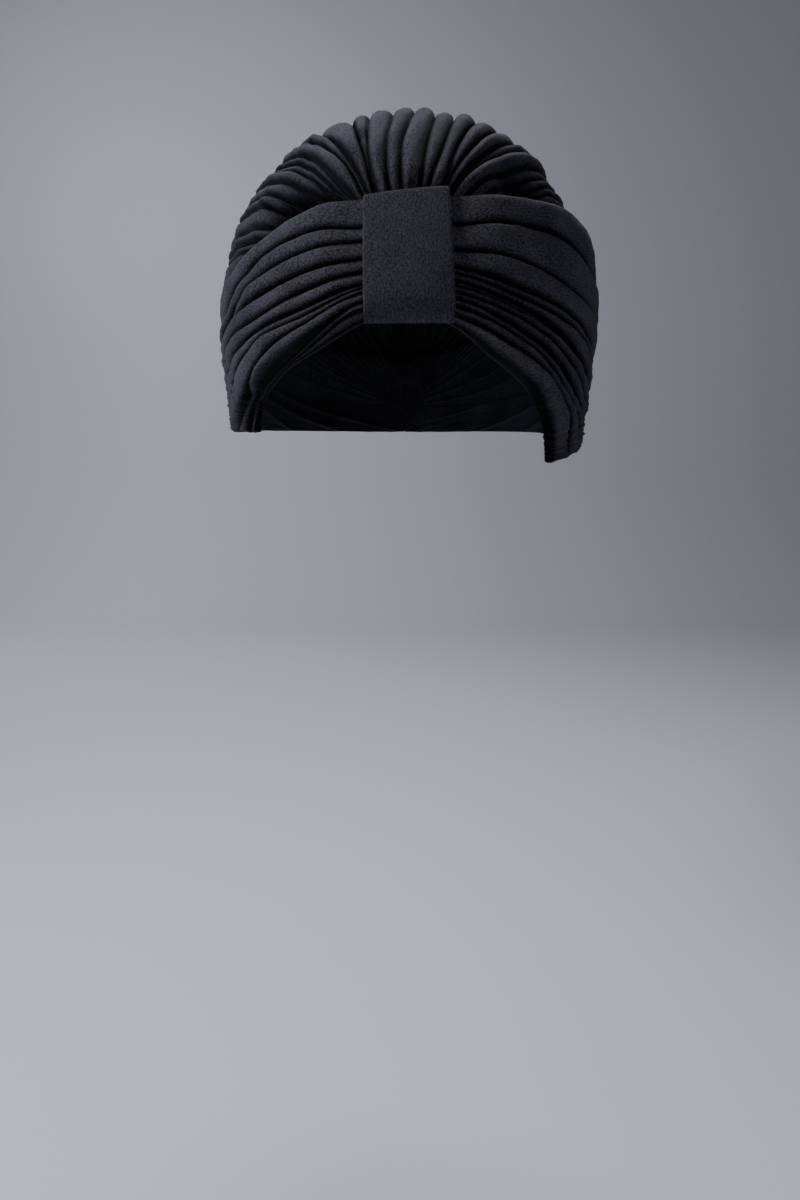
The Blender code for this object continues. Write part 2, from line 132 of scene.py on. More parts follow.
# How pleats are shaped. The crown's go from fuller ones on the left to rounder ones on the right,
# and the wings' ridges lean to the top edge, so their overhang is negative.
PLEAT_SLENDERNESS = 0.80
PLEAT_UNEVENNESS = 0.14
FLAT_PLEAT_FULLNESS = 0.75
ROUND_PLEAT_FULLNESS = 0.85
WING_PLEAT_FULLNESS = 0.75
ROUNDER_FROM = 0.2
ROUNDER_RUN = 0.5
CROWN_LEAN = 1.0
WING_LEAN = 0.72
WING_OVERHANG = -0.12
WIDE_PLEAT_FACES = 14
NARROW_PLEAT_FACES = 8
NARROW_PLEAT_SHARE = 0.022

# How grooves wander along their run: as shares of the pleats beside them and of the run.
CROWN_WANDER = 0.20
WING_WANDER = 0.10
WANDER_START = 0.25
WANDER_RUN = 0.25
WANDER_WAVES = 3
SLOWEST_WAVE = 0.6
QUICKEST_WAVE = 1.0
WAVE_FALL = 1.5

# How far the painted shade of a groove reaches over the pleats beside it, in metres, with the most
# that it takes of a narrow pleat as a share, the groove's fully dark core in metres and as a share,
# and the painted shade of the inside and of the crown's hollows. The painted shade reaches further
# over the lower side of a wing's pleats, and of the pleats on the crown's left, as if lit from above.
LEFT_CROWN_SHADE = 0.0028
RIGHT_CROWN_SHADE = 0.0010
WING_SHADE_BELOW = 0.0022
WING_SHADE_ABOVE = 0.0007
WIDEST_SHADE = 0.60
GROOVE_CORE = 0.0004
WIDEST_CORE = 0.12
INSIDE_SHADE = 0.6
HOLLOW_SHADE_DEPTH = 0.0060

# The loose nap: fibres to a square metre, the size and bow of a fibre, and how far fibres differ
# in their turn and their length.
NAP_DENSITY = 40000.0
FIBRE_LENGTH = 0.0011
FIBRE_RADIUS = 0.000028
FIBRE_FACES = 3
FIBRE_MIDDLE = (0.35, 0.0, 0.55)
FIBRE_END = (1.0, 0.0, 0.30)
LEAST_FIBRE_TURN = (-0.5, -0.3, 0.0)
MOST_FIBRE_TURN = (0.5, 0.4, 2.0 * math.pi)
SHORTEST_FIBRE = 0.5
LONGEST_FIBRE = 1.4
OUTSIDE_MARK = 0.5

# Brushed cotton jersey: a fine knit whose raised nap scatters light, so it is matt and charcoal
# where it faces the eye and a little paler where it turns away. The knit's wales are about 0.5 mm
# apart, which is finer than the picture shows, so the grain is drawn about 0.7 mm wide.
GRAIN_WIDTH = 0.0007
GRAIN_STRETCH = 1.6
GRAIN_DETAIL = 3.0
NAP_WIDTH = 0.0004
NAP_DETAIL = 2.0
CLOUD_WIDTH = 0.020
CLOUD_DETAIL = 4.0
CLOUD_SHARE = 0.4
PATTERN_ROUGHNESS = 0.6
DARKEST_PATTERN = 0.96
LIGHTEST_PATTERN = 1.44
JERSEY_FINISH = {
    "Roughness": 0.92,
    "Sheen Weight": 0.12,
    "Sheen Roughness": 0.30,
    "Specular IOR Level": 0.04,
}
NAP_TINT = "#c9cdd8"
NAP_BUMP = 0.00035
NAP_BUMP_STRENGTH = 0.8

# The colour sockets of a Mix node share their names with its number sockets, so they go by place.
MIX_FIRST = 6
MIX_SECOND = 7
MIX_RESULT = 2

# The curve from a stored sRGB value to the light that it stands for.
SRGB_KNEE = 0.04045
SRGB_SLOPE = 12.92
SRGB_OFFSET = 0.055
SRGB_POWER = 2.4

# The camera's place, how many degrees it points down, and its frame and lens in millimetres.
CAMERA_PLACE = (-0.0031, -0.41, 0.0)
CAMERA_DIP = 11.0
FRAME_HEIGHT = 36.0
LENS_LENGTH = 24.0

# The studio: soft boxes with an edge in metres and a power in watts, the air, and the paper that
# lies flat below and curves up behind.
WRAP_MIDDLE = (0.0, 0.0, 0.07)
PAPER_MIDDLE = (-0.6, 2.2, -0.2)
SOFT_BOXES = [
    {"name": "key_box", "place": (-0.66, -0.36, 0.54), "target": WRAP_MIDDLE, "size": 0.26, "power": 8.8},
    {"name": "left_box", "place": (-0.85, -0.30, 0.02), "target": WRAP_MIDDLE, "size": 0.40, "power": 3.5},
    {"name": "fill_box", "place": (0.75, -0.70, 0.15), "target": WRAP_MIDDLE, "size": 0.8, "power": 2.2},
    {"name": "rim_box", "place": (0.05, 0.38, 0.80), "target": WRAP_MIDDLE, "size": 0.30, "power": 7.0},
    {"name": "backdrop_box", "place": (-0.9, 0.9, 0.9), "target": PAPER_MIDDLE, "size": 0.8, "power": 12.0},
]
LIGHT_COLOUR = "#f2f5ff"
AIR_COLOUR = "#e8ebf0"
AIR_STRENGTH = 0.12
PAPER_HEIGHT = -0.42
PAPER_REACH = 3.0
PAPER_BEND_START = 1.4
PAPER_BEND = 0.8
PAPER_BEND_STEPS = 24

# The seed of everything random but the naps, whose seeds count up from 1.
SEED = 7

# The crown's pleats from left to right: parts of the fan's angle that each takes behind the band,
# where the dome rises, over the brow and at the crest.
CROWN_PLEATS = [
    {"gather": 9.0, "rise": 9.0, "brow": 9.0, "crest": 9.0},
    {"gather": 8.0, "rise": 8.0, "brow": 8.0, "crest": 8.0},
    {"gather": 4.5, "rise": 4.5, "brow": 4.5, "crest": 5.0},
    {"gather": 3.5, "rise": 3.0, "brow": 2.5, "crest": 3.0},
    {"gather": 3.0, "rise": 3.5, "brow": 4.0, "crest": 4.0},
    {"gather": 7.0, "rise": 7.0, "brow": 7.0, "crest": 6.0},
    {"gather": 5.0, "rise": 5.0, "brow": 4.9, "crest": 4.0},
    {"gather": 6.5, "rise": 6.5, "brow": 5.7, "crest": 5.5},
    {"gather": 5.2, "rise": 4.7, "brow": 5.4, "crest": 4.0},
    {"gather": 1.7, "rise": 2.4, "brow": 3.4, "crest": 3.0},
    {"gather": 3.0, "rise": 2.8, "brow": 3.3, "crest": 3.5},
    {"gather": 5.6, "rise": 8.0, "brow": 6.2, "crest": 6.5},
    {"gather": 3.2, "rise": 2.8, "brow": 3.9, "crest": 6.0},
    {"gather": 4.3, "rise": 5.6, "brow": 7.8, "crest": 11.5},
    {"gather": 1.5, "rise": 1.9, "brow": 3.9, "crest": 5.2},
    {"gather": 9.4, "rise": 8.6, "brow": 8.3, "crest": 7.6},
    {"gather": 9.2, "rise": 7.6, "brow": 6.8, "crest": 5.8},
    {"gather": 13.4, "rise": 12.0, "brow": 8.9, "crest": 6.0},
    {"gather": 6.6, "rise": 7.4, "brow": 6.5, "crest": 5.4},
    {"gather": 9.4, "rise": 6.2, "brow": 5.6, "crest": 6.6},
    {"gather": 1.2, "rise": 3.9, "brow": 5.6, "crest": 6.4},
    {"gather": 3.8, "rise": 4.6, "brow": 5.3, "crest": 7.0},
    {"gather": 1.6, "rise": 2.2, "brow": 3.2, "crest": 5.5},
    {"gather": 7.4, "rise": 7.3, "brow": 7.1, "crest": 5.0},
    {"gather": 6.0, "rise": 6.0, "brow": 4.4, "crest": 3.5},
    {"gather": 4.5, "rise": 3.8, "brow": 3.8, "crest": 3.0},
    {"gather": 3.5, "rise": 3.2, "brow": 2.5, "crest": 3.0},
    {"gather": 4.0, "rise": 3.5, "brow": 3.5, "crest": 3.0},
    {"gather": 9.0, "rise": 9.0, "brow": 9.0, "crest": 8.0},
    {"gather": 10.0, "rise": 10.0, "brow": 10.0, "crest": 10.0},
    {"gather": 10.0, "rise": 10.0, "brow": 10.0, "crest": 10.0},
    {"gather": 10.0, "rise": 10.0, "brow": 10.0, "crest": 10.0},
]

# Where the fan's widths are given, in degrees from the gather behind the band.
FAN_STATIONS = {"gather": 16.0, "rise": 23.0, "brow": 34.0, "crest": 55.0}

# One pleat is folded over on itself: below this line, in degrees, it dives under its own flap.
FLAP_PLEAT = 14
FLAP_LINE = 36.0
FLAP_RUN = 1.4
FLAP_DEPTH = 0.7

# Dents and swells of the crown: angle round the form, height as a share of the dome's rise,
# reach as a share of the form's half width, and depth as a share of a pleat's height.
CROWN_DENTS = [
    {"angle": -31.0, "height": 0.36, "reach": 0.11, "depth": 1.7},
    {"angle": -24.0, "height": 0.37, "reach": 0.10, "depth": 1.5},
    {"angle": -18.0, "height": 0.39, "reach": 0.08, "depth": 1.0},
    {"angle": -39.0, "height": 0.41, "reach": 0.09, "depth": -0.45},
    {"angle": 30.0, "height": 0.48, "reach": 0.13, "depth": 1.0},
    {"angle": 38.0, "height": 0.46, "reach": 0.10, "depth": 0.8},
    {"angle": 42.0, "height": 0.84, "reach": 0.36, "depth": -0.15},
]

# The sections of each wing, from under the band round to the side. A top height is a share of the
# wing's rise, a foot height a share of the drop to the ear, a swell a share of a pleat.
LEFT_SECTIONS = [
    {"top_angle": 0.3, "top": 0.980, "foot_angle": 0.3, "foot": 0.000, "swell": 0.0, "widths": "band"},
    {"top_angle": 10.0, "top": 0.965, "foot_angle": 10.0, "foot": 0.020, "swell": 0.0, "widths": "band"},
    {"top_angle": 25.0, "top": 0.860, "foot_angle": 22.0, "foot": 0.230, "swell": 0.0, "widths": "brow"},
    {"top_angle": 43.0, "top": 0.644, "foot_angle": 35.0, "foot": 0.422, "swell": 0.1, "widths": "temple"},
    {"top_angle": 62.0, "top": 0.493, "foot_angle": 48.0, "foot": 0.673, "swell": 0.0, "widths": "side"},
]
RIGHT_SECTIONS = [
    {"top_angle": 0.3, "top": 1.005, "foot_angle": 0.3, "foot": 0.000, "swell": 0.0, "widths": "band"},
    {"top_angle": 10.0, "top": 0.995, "foot_angle": 9.5, "foot": 0.030, "swell": 0.0, "widths": "band"},
    {"top_angle": 27.0, "top": 1.010, "foot_angle": 22.0, "foot": 0.336, "swell": 0.1, "widths": "brow"},
    {"top_angle": 45.0, "top": 1.025, "foot_angle": 34.0, "foot": 0.596, "swell": 0.3, "widths": "temple"},
    {"top_angle": 66.0, "top": 1.000, "foot_angle": 44.0, "foot": 0.961, "swell": 0.5, "widths": "side"},
]

# Where each wing's hem starts: its angle from the front, and its height as a share of the drop.
LEFT_END = {"ear_angle": 58.0, "ear": 1.00}
RIGHT_END = {"ear_angle": 52.0, "ear": 1.327}

# Each wing's pleats from the top edge down: shares of the section that each takes at the
# band, over the brow, at the temple, at the side and at the hem.
LEFT_PLEATS = [
    {"band": 0.256, "brow": 0.173, "temple": 0.152, "side": 0.226, "hem": 0.24},
    {"band": 0.115, "brow": 0.142, "temple": 0.119, "side": 0.074, "hem": 0.15},
    {"band": 0.143, "brow": 0.148, "temple": 0.131, "side": 0.061, "hem": 0.14},
    {"band": 0.108, "brow": 0.129, "temple": 0.147, "side": 0.110, "hem": 0.14},
    {"band": 0.097, "brow": 0.114, "temple": 0.101, "side": 0.130, "hem": 0.12},
    {"band": 0.028, "brow": 0.055, "temple": 0.076, "side": 0.160, "hem": 0.10},
    {"band": 0.039, "brow": 0.072, "temple": 0.142, "side": 0.190, "hem": 0.06},
    {"band": 0.081, "brow": 0.110, "temple": 0.108, "side": 0.025, "hem": 0.03},
    {"band": 0.058, "brow": 0.022, "temple": 0.010, "side": 0.008, "hem": 0.008},
    {"band": 0.075, "brow": 0.035, "temple": 0.014, "side": 0.016, "hem": 0.012},
]
RIGHT_PLEATS = [
    {"band": 0.250, "brow": 0.180, "temple": 0.180, "side": 0.204, "hem": 0.25},
    {"band": 0.197, "brow": 0.220, "temple": 0.238, "side": 0.203, "hem": 0.16},
    {"band": 0.138, "brow": 0.156, "temple": 0.132, "side": 0.111, "hem": 0.13},
    {"band": 0.042, "brow": 0.050, "temple": 0.050, "side": 0.038, "hem": 0.09},
    {"band": 0.060, "brow": 0.048, "temple": 0.067, "side": 0.094, "hem": 0.07},
    {"band": 0.032, "brow": 0.027, "temple": 0.021, "side": 0.025, "hem": 0.06},
    {"band": 0.053, "brow": 0.055, "temple": 0.057, "side": 0.060, "hem": 0.04},
    {"band": 0.047, "brow": 0.062, "temple": 0.065, "side": 0.065, "hem": 0.05},
    {"band": 0.066, "brow": 0.048, "temple": 0.048, "side": 0.060, "hem": 0.05},
    {"band": 0.060, "brow": 0.072, "temple": 0.062, "side": 0.070, "hem": 0.05},
    {"band": 0.055, "brow": 0.082, "temple": 0.080, "side": 0.070, "hem": 0.05},
]

# The band's line from its top fold down its face and under the brow: a height as a share of
# the band's height, and how far it stands off as a share of the band's seat.
BAND_LINE = [
    {"height": 0.990, "off": 0.42},
    {"height": 1.012, "off": 0.62},
    {"height": 1.008, "off": 0.86},
    {"height": 0.972, "off": 0.98},
    {"height": 0.772, "off": 1.00},
    {"height": 0.545, "off": 1.02},
    {"height": 0.318, "off": 1.00},
    {"height": 0.240, "off": 0.97},
    {"height": 0.180, "off": 0.88},
    {"height": 0.130, "off": 0.62},
    {"height": 0.090, "off": 0.25},
    {"height": 0.058, "off": -0.15},
    {"height": 0.040, "off": -0.55},
]

# Soft unevenness of the cloth, in metres: wavelength along the pleats and across them, and depth.
CLOTH_RIPPLES = [
    {"along": 0.050, "across": 0.021, "depth": 0.00028},
    {"along": 0.031, "across": 0.013, "depth": 0.00018},
    {"along": 0.017, "across": 0.0062, "depth": 0.00010},
    {"along": 0.011, "across": 0.0034, "depth": 0.00006},
]
WAVES_IN_A_RIPPLE = 5
RIPPLE_PITCHES = (0.7, 1.4)

# How far a place on the flat band moves: back as it bends round the brow, up as its top tilts, and
# sideways as it widens downwards from its left edge. Each row is one sum, worked out in order, on
# the place's x and z, the band's sizes and the results above it.
BAND_SUMS = [
    {"result": "square", "sum": "MULTIPLY", "first": "x", "second": "x"},
    {"result": "twice", "sum": "MULTIPLY", "first": "Bend Radius", "second": 2.0},
    {"result": "bend", "sum": "DIVIDE", "first": "square", "second": "twice"},
    {"result": "above", "sum": "SUBTRACT", "first": "z", "second": "Foot"},
    {"result": "share", "sum": "DIVIDE", "first": "above", "second": "Height"},
    {"result": "slope", "sum": "DIVIDE", "first": "Tilt", "second": "Width"},
    {"result": "lean", "sum": "MULTIPLY", "first": "slope", "second": "share"},
    {"result": "rise", "sum": "MULTIPLY", "first": "lean", "second": "x"},
    {"result": "half", "sum": "MULTIPLY", "first": "Width", "second": 0.5},
    {"result": "from_left", "sum": "ADD", "first": "x", "second": "half"},
    {"result": "lower", "sum": "SUBTRACT", "first": 1.0, "second": "share"},
    {"result": "wider", "sum": "MULTIPLY", "first": "from_left", "second": "Spread"},
    {"result": "widened", "sum": "MULTIPLY", "first": "wider", "second": "lower"},
    {"result": "sideways", "sum": "ADD", "first": "widened", "second": "Shift"},
]


def smooth_step(value):
    """Rises smoothly from 0 to 1 as the value goes from 0 to 1."""
    share = np.clip(value, 0.0, 1.0)
    return share * share * (3.0 - 2.0 * share)


def form_parts(x, y, z):
    """The form's depth, the height over its base, its rise and the share of its plan at a place."""
    depth = np.where(y < 0.0, FORM_FRONT_DEPTH, FORM_BACK_DEPTH)
    above = z - FORM_BASE_HEIGHT
    rise = np.where(above > 0.0, FORM_DOME_RISE, FORM_SKIRT_DROP)
    plan = (x / FORM_HALF_WIDTH) ** 2 + (y / depth) ** 2
    return depth, above, rise, plan


def form_value(x, y, z):
    """1 on the form, less inside it and more outside."""
    _, above, rise, plan = form_parts(x, y, z)
    return plan ** (FORM_ROUNDNESS / 2.0) + np.abs(above / rise) ** FORM_ROUNDNESS


def form_normal(x, y, z):
    """The direction straight out of the form at a place on it."""
    depth, above, rise, plan = form_parts(x, y, z)
    steep = np.maximum(plan, SMALLEST_SHARE) ** (FORM_ROUNDNESS / 2.0 - 1.0)
    up = np.abs(above / rise) ** (FORM_ROUNDNESS - 1.0) / rise * np.sign(above)
    out = np.stack([steep * x / FORM_HALF_WIDTH**2, steep * y / depth**2, up], axis=-1)
    return out / np.linalg.norm(out, axis=-1, keepdims=True)


def form_share(height):
    """The form's reach at a height as a share of its reach at its base."""
    above = height - FORM_BASE_HEIGHT
    rise = np.where(above > 0.0, FORM_DOME_RISE, FORM_SKIRT_DROP)
    fall = np.minimum(np.abs(above / rise), 1.0) ** FORM_ROUNDNESS
    return (1.0 - fall) ** (1.0 / FORM_ROUNDNESS)


def place_on_form(angle, height, off):
    """The point at an angle round the form and a height, standing off it."""
    turn = np.radians(angle)
    depth = np.where(np.cos(turn) > 0.0, FORM_FRONT_DEPTH, FORM_BACK_DEPTH)
    reach = form_share(height) / np.hypot(np.sin(turn) / FORM_HALF_WIDTH, np.cos(turn) / depth)
    x = reach * np.sin(turn)
    y = -reach * np.cos(turn)
    return np.stack([x, y, height], axis=-1) + form_normal(x, y, height) * off[..., None]


def pleat_shares(pleats, name):
    """The share of the whole that each pleat takes, from one column of its table."""
    parts = np.array([pleat[name] for pleat in pleats])
    return parts / parts.sum()


def pleat_columns(shares):
    """For each column of a sheet, its pleat and its turn round that pleat's back, from 0 to 1."""
    owners = []
    turns = []
    for number, share in enumerate(shares):
        faces = WIDE_PLEAT_FACES if share > NARROW_PLEAT_SHARE else NARROW_PLEAT_FACES
        for step in range(faces):
            owners.append(number)
            turns.append(step / faces)
    owners.append(len(shares) - 1)
    turns.append(1.0)
    return np.array(owners), np.array(turns)


def slow_waves(chance, runs, count):
    """For each of some lines, a smooth chance curve between about -1 and 1 along the rows."""
    curves = np.zeros((len(runs), count))
    for wave in range(1, WANDER_WAVES + 1):
        phase = chance.uniform(0.0, 2.0 * np.pi, count)
        pitch = chance.uniform(SLOWEST_WAVE, QUICKEST_WAVE, count) * wave
        curves += np.sin(2.0 * np.pi * runs[:, None] * pitch + phase) / (wave * WAVE_FALL)
    return curves


def groove_edges(widths):
    """Where each groove lies across the sheet, for rows of pleat widths."""
    return np.concatenate([np.zeros((len(widths), 1)), np.cumsum(widths, axis=1)], axis=1)


def wandered_edges(chance, widths, runs, wander):
    """The same for grooves that wander between their neighbours along the rows."""
    edges = groove_edges(widths)
    started = smooth_step((runs - WANDER_START) / WANDER_RUN)[:, None]
    room = np.minimum(widths[:, :-1], widths[:, 1:]) * started
    edges[:, 1:-1] += slow_waves(chance, runs, widths.shape[1] - 1) * room * wander
    return edges


def ridge_place(turns, lean):
    """How far across its pleat each column lies: crowded at the grooves, the ridge leaning on."""
    return ((1.0 - np.cos(np.pi * turns)) / 2.0) ** (1.0 / lean)


def column_shares(edges, owners, turns, lean):
    """How far across the whole sheet each column lies, for rows of groove places."""
    return edges[:, owners] + (edges[:, owners + 1] - edges[:, owners]) * ridge_place(turns, lean)


def slid_columns(places, even, shares):
    """The places on a sheet's rows, moved along each row from even shares to the given ones."""
    moved = np.empty_like(places)
    for row, (start, finish) in enumerate(zip(even, shares)):
        for part in range(places.shape[-1]):
            moved[row, :, part] = np.interp(finish, start, places[row, :, part])
    return moved


def ripples(chance, along, across):
    """Soft unevenness at places along and across the pleats, in metres."""
    depth = np.zeros(along.shape)
    for ripple in CLOTH_RIPPLES:
        for _ in range(WAVES_IN_A_RIPPLE):
            pitch = chance.uniform(*RIPPLE_PITCHES, 2)
            side = chance.choice([-1.0, 1.0])
            phase = chance.uniform(0.0, 2.0 * np.pi)
            turn = along * pitch[0] / ripple["along"] + side * across * pitch[1] / ripple["across"]
            wave = np.sin(2.0 * np.pi * turn + phase)
            depth += ripple["depth"] / math.sqrt(WAVES_IN_A_RIPPLE) * wave
    return depth


def eased_curve(start, end, leave, arrive, run):
    """A smooth curve from a start to an end, with its slope given at both."""
    return (
        start * (1.0 + 2.0 * run) * (1.0 - run) ** 2
        + end * run**2 * (3.0 - 2.0 * run)
        + leave * run * (1.0 - run) ** 2
        + arrive * run**2 * (run - 1.0)
    )


def smooth_path(knots, values, at):
    """A smooth curve through a value at each knot, read at other knots along it."""
    slopes = np.gradient(values, knots, axis=0)
    place = np.clip(np.searchsorted(knots, at, side="right") - 1, 0, len(knots) - 2)
    span = (knots[place + 1] - knots[place]).reshape(-1, *[1] * (values.ndim - 1))
    run = (at - knots[place]).reshape(span.shape) / span
    leave = slopes[place] * span
    arrive = slopes[place + 1] * span
    return eased_curve(values[place], values[place + 1], leave, arrive, run)


def back_runs():
    """How far along each back row of a wing lies, crowded towards the nape."""
    step = np.linspace(0.0, 1.0, WING_BACK_ROWS + 1)[1:]
    return step * (1.0 + NAPE_ROW_CROWDING * (1.0 - step))


def wing_sections(sections, shares):
    """The angle, height and swell on every section of a wing, at the columns' shares of it."""
    places = []
    for section, share in zip(sections, shares):
        top = BROW_HEIGHT + WING_RISE * section["top"]
        foot = BROW_HEIGHT - EAR_DROP * section["foot"]
        angle = section["top_angle"] + (section["foot_angle"] - section["top_angle"]) * share
        height = top + (foot - top) * share
        swell = WING_PLEAT_HEIGHT * section["swell"] * (1.0 - share)
        places.append(np.stack([angle, height, swell], axis=-1))
    return np.array(places)


def wing_end(end, share, seam_share):
    """The angle, height and swell where a pleat ends: down the nape seam, then along the hem."""
    ear_height = BROW_HEIGHT - EAR_DROP * end["ear"]
    seam = np.clip(share / seam_share, 0.0, 1.0)
    hem = np.clip((share - seam_share) / (1.0 - seam_share), 0.0, 1.0)
    seam_angle = 180.0 - math.degrees(SEAM_HALF_GAP / FORM_BACK_DEPTH)
    angle = seam_angle + (end["ear_angle"] - seam_angle) * hem
    height = NAPE_SEAM_HEIGHT + (NAPE_HEM_HEIGHT - NAPE_SEAM_HEIGHT) * seam
    height = height + (ear_height - NAPE_HEM_HEIGHT) * hem**EAR_DIP_SHARPNESS
    return np.stack([angle, height, np.zeros_like(angle)], axis=-1)


def wing_places(chance, sections, end, pleats, owners, turns):
    """The angle, height and swell at every row and column of a wing, with its groove places."""
    widths = np.array([pleat_shares(pleats, section["widths"]) for section in sections])
    knots = np.arange(len(sections), dtype=float)
    at = np.linspace(0.0, knots[-1], WING_FRONT_ROWS)
    run = back_runs()
    hem_widths = pleat_shares(pleats, "hem")
    front_widths = smooth_path(knots, widths, at)
    back_widths = front_widths[-1] + (hem_widths - front_widths[-1]) * run[:, None]
    all_widths = np.concatenate([front_widths, back_widths])
    along = np.concatenate([at / knots[-1], 1.0 + run]) / 2.0
    edges = wandered_edges(chance, all_widths, along, WING_WANDER)
    shares = column_shares(edges, owners, turns, WING_LEAN)
    lines = wing_sections(sections, column_shares(groove_edges(widths), owners, turns, WING_LEAN))
    front = smooth_path(knots, lines, at)
    finish_shares = column_shares(groove_edges(hem_widths[None, :]), owners, turns, WING_LEAN)[0]
    finish = wing_end(end, finish_shares, hem_widths[0])
    leave = front[-1] - front[-2]
    rows_left = (finish[:, 0] - front[-1, :, 0]) / np.maximum(leave[:, 0], SMALLEST_STEP)
    leave = leave * np.minimum(rows_left, LONGEST_LEAVE * WING_FRONT_ROWS)[:, None]
    back = eased_curve(front[-1], finish, leave, finish - front[-1], run[:, None, None])
    even = column_shares(groove_edges(all_widths), owners, turns, WING_LEAN)
    places = slid_columns(np.concatenate([front, back]), even, shares)
    return places, edges, shares, along


def crown_gathers():
    """The middles of the crown's front gather and of its gather at the nape."""
    front = -FORM_FRONT_DEPTH * form_share(np.array(GATHER_HEIGHT))
    back = FORM_BACK_DEPTH * form_share(np.array(NAPE_HEIGHT))
    return np.array([0.0, front, GATHER_HEIGHT]), np.array([0.0, back, NAPE_HEIGHT])


def crown_axis_height(y):
    """The height of the line between the crown's gathers at a depth."""
    front, back = crown_gathers()
    return front[2] + (back[2] - front[2]) * (y - front[1]) / (back[1] - front[1])


def hem_sink(places):
    """How far the cloth sinks inwards towards its hem, below the crown's lower edge."""
    back_run = np.concatenate([np.zeros(WING_FRONT_ROWS), back_runs()])[:, None]
    y = place_on_form(places[..., 0], places[..., 1], np.zeros(places.shape[:2]))[..., 1]
    below = (crown_axis_height(y) - HEM_SINK_REACH / 2.0 - places[..., 1]) / HEM_SINK_REACH
    return HEM_SINK * back_run * smooth_step(below)


def pleat_stand(chance, widths, owners, turns, tallest, along, fullness):
    """How far each column stands up: tall on wide pleats, low on narrow ones, each a bit uneven."""
    uneven = 1.0 + PLEAT_UNEVENNESS * slow_waves(chance, along, widths.shape[1])
    height = np.minimum(widths * PLEAT_SLENDERNESS * uneven, CROWN_PLEAT_HEIGHT * uneven)
    return np.minimum(height[:, owners], tallest * uneven[:, owners]) * np.sin(np.pi * turns) ** fullness


def nape_gathers(shares, along, seam_share):
    """Small gathers where a wing is sewn into the nape seam."""
    near = smooth_step((along - GATHERED_FROM) / GATHERED_RUN)[:, None]
    in_seam = 1.0 - smooth_step(shares / seam_share - 1.0)
    waves = np.sin(shares / seam_share * np.pi * NAPE_GATHERS)
    return NAPE_GATHER_DEPTH * near * in_seam * waves


def groove_shade(widths, owners, turns, lean, before, after):
    """Painted shade in the grooves: 0 in them, rising to 1 at the given distances after one groove and
    before the next.
    """
    width = widths[:, owners]
    place = ridge_place(turns, lean) * width
    core = np.minimum(GROOVE_CORE, width * WIDEST_CORE)
    near_start = smooth_step((place - core) / np.minimum(after, width * WIDEST_SHADE))
    near_end = smooth_step((width - place - core) / np.minimum(before, width * WIDEST_SHADE))
    return near_start * near_end


def wing_sheet(name, sections, end, pleats, side, seed, material):
    """One wing as a closed sheet of jersey."""
    chance = np.random.default_rng(seed)
    owners, turns = pleat_columns(pleat_shares(pleats, "brow"))
    places, edges, shares, along = wing_places(chance, sections, end, pleats, owners, turns)
    angles = places[..., 0]
    heights = places[..., 1]
    line = place_on_form(angles, heights, np.zeros_like(angles))
    length = np.linalg.norm(np.diff(line, axis=1), axis=-1).sum(axis=1)
    from_band = smooth_step((line[..., 0] - BAND_WIDTH / 2.0) / PLEAT_RISE_RUN)
    tallest = WING_TUCK_HEIGHT + (WING_PLEAT_HEIGHT - WING_TUCK_HEIGHT) * from_band
    widths = np.diff(edges, axis=1) * length[:, None]
    stand = pleat_stand(chance, widths, owners, turns, tallest, along, WING_PLEAT_FULLNESS)
    turned = smooth_step((shares - 1.0 + HEM_TURN_SHARE) / HEM_TURN_SHARE)
    distance = np.cumsum(np.linalg.norm(np.diff(line, axis=0, prepend=line[:1]), axis=-1), axis=0)
    soft = ripples(chance, distance, shares * length[:, None]) * from_band
    soft = soft + nape_gathers(shares, along, pleat_shares(pleats, "hem")[0])
    seat = SEAT_OF_WING - (SEAT_OF_WING + HEM_TURN) * turned + places[..., 2] - hem_sink(places)
    droop = stand * WING_OVERHANG * from_band * (1.0 - turned)
    outer = place_on_form(angles, heights - droop, seat + stand + soft)
    under = seat + stand * UNDERSIDE_STAND - CLOTH_WALL + soft * UNDERSIDE_RIPPLE
    inner = place_on_form(angles, heights - droop * UNDERSIDE_DROOP, under)
    # Painted shade in the grooves, reaching further down each pleat's lower side than up its upper side, as
    # if lit from above.
    fold = groove_shade(widths, owners, turns, WING_LEAN, WING_SHADE_BELOW, WING_SHADE_ABOVE)
    for surface in (outer, inner):
        surface[..., 0] *= side
    uv = np.stack([distance, shares * length[:, None]], axis=-1)
    return closed_sheet(name, outer[:, ::side], inner[:, ::side], uv[:, ::side], fold[:, ::side], material)


def wing_top_edge(sections, end, pleats):
    """The angle and height along a wing's top edge, from the band to the nape."""
    chance = np.random.default_rng(SEED)
    edge = np.zeros(1, dtype=int)
    places = wing_places(chance, sections, end, pleats, edge, np.zeros(1))[0]
    return places[:, 0, 0], places[:, 0, 1]


def crown_cover(points):
    """1 where a wing covers the crown, falling to 0 above the wing's top edge."""
    angle = np.degrees(np.arctan2(points[..., 0], -points[..., 1]))
    left = wing_top_edge(LEFT_SECTIONS, LEFT_END, LEFT_PLEATS)
    right = wing_top_edge(RIGHT_SECTIONS, RIGHT_END, RIGHT_PLEATS)
    left_edge = np.interp(-angle, left[0], left[1])
    right_edge = np.interp(angle, right[0], right[1])
    edge = np.where(angle < 0.0, left_edge, right_edge)
    room = WING_EDGE_ROOM + NAPE_EDGE_ROOM * smooth_step(np.abs(angle) / SIDE_ANGLE - 1.0)
    return 1.0 - smooth_step((points[..., 2] - edge - room) / CROWN_TUCK_REACH)


def crown_dents(points):
    """How far the crown is pushed in at each point."""
    depth = np.zeros(points.shape[:-1])
    for dent in CROWN_DENTS:
        height = FORM_BASE_HEIGHT + FORM_DOME_RISE * dent["height"]
        middle = place_on_form(np.array(dent["angle"]), np.array(height), np.array(0.0))
        away = np.linalg.norm(points - middle, axis=-1) / (FORM_HALF_WIDTH * dent["reach"])
        depth += CROWN_PLEAT_HEIGHT * dent["depth"] * np.exp(-(away**2))
    return depth


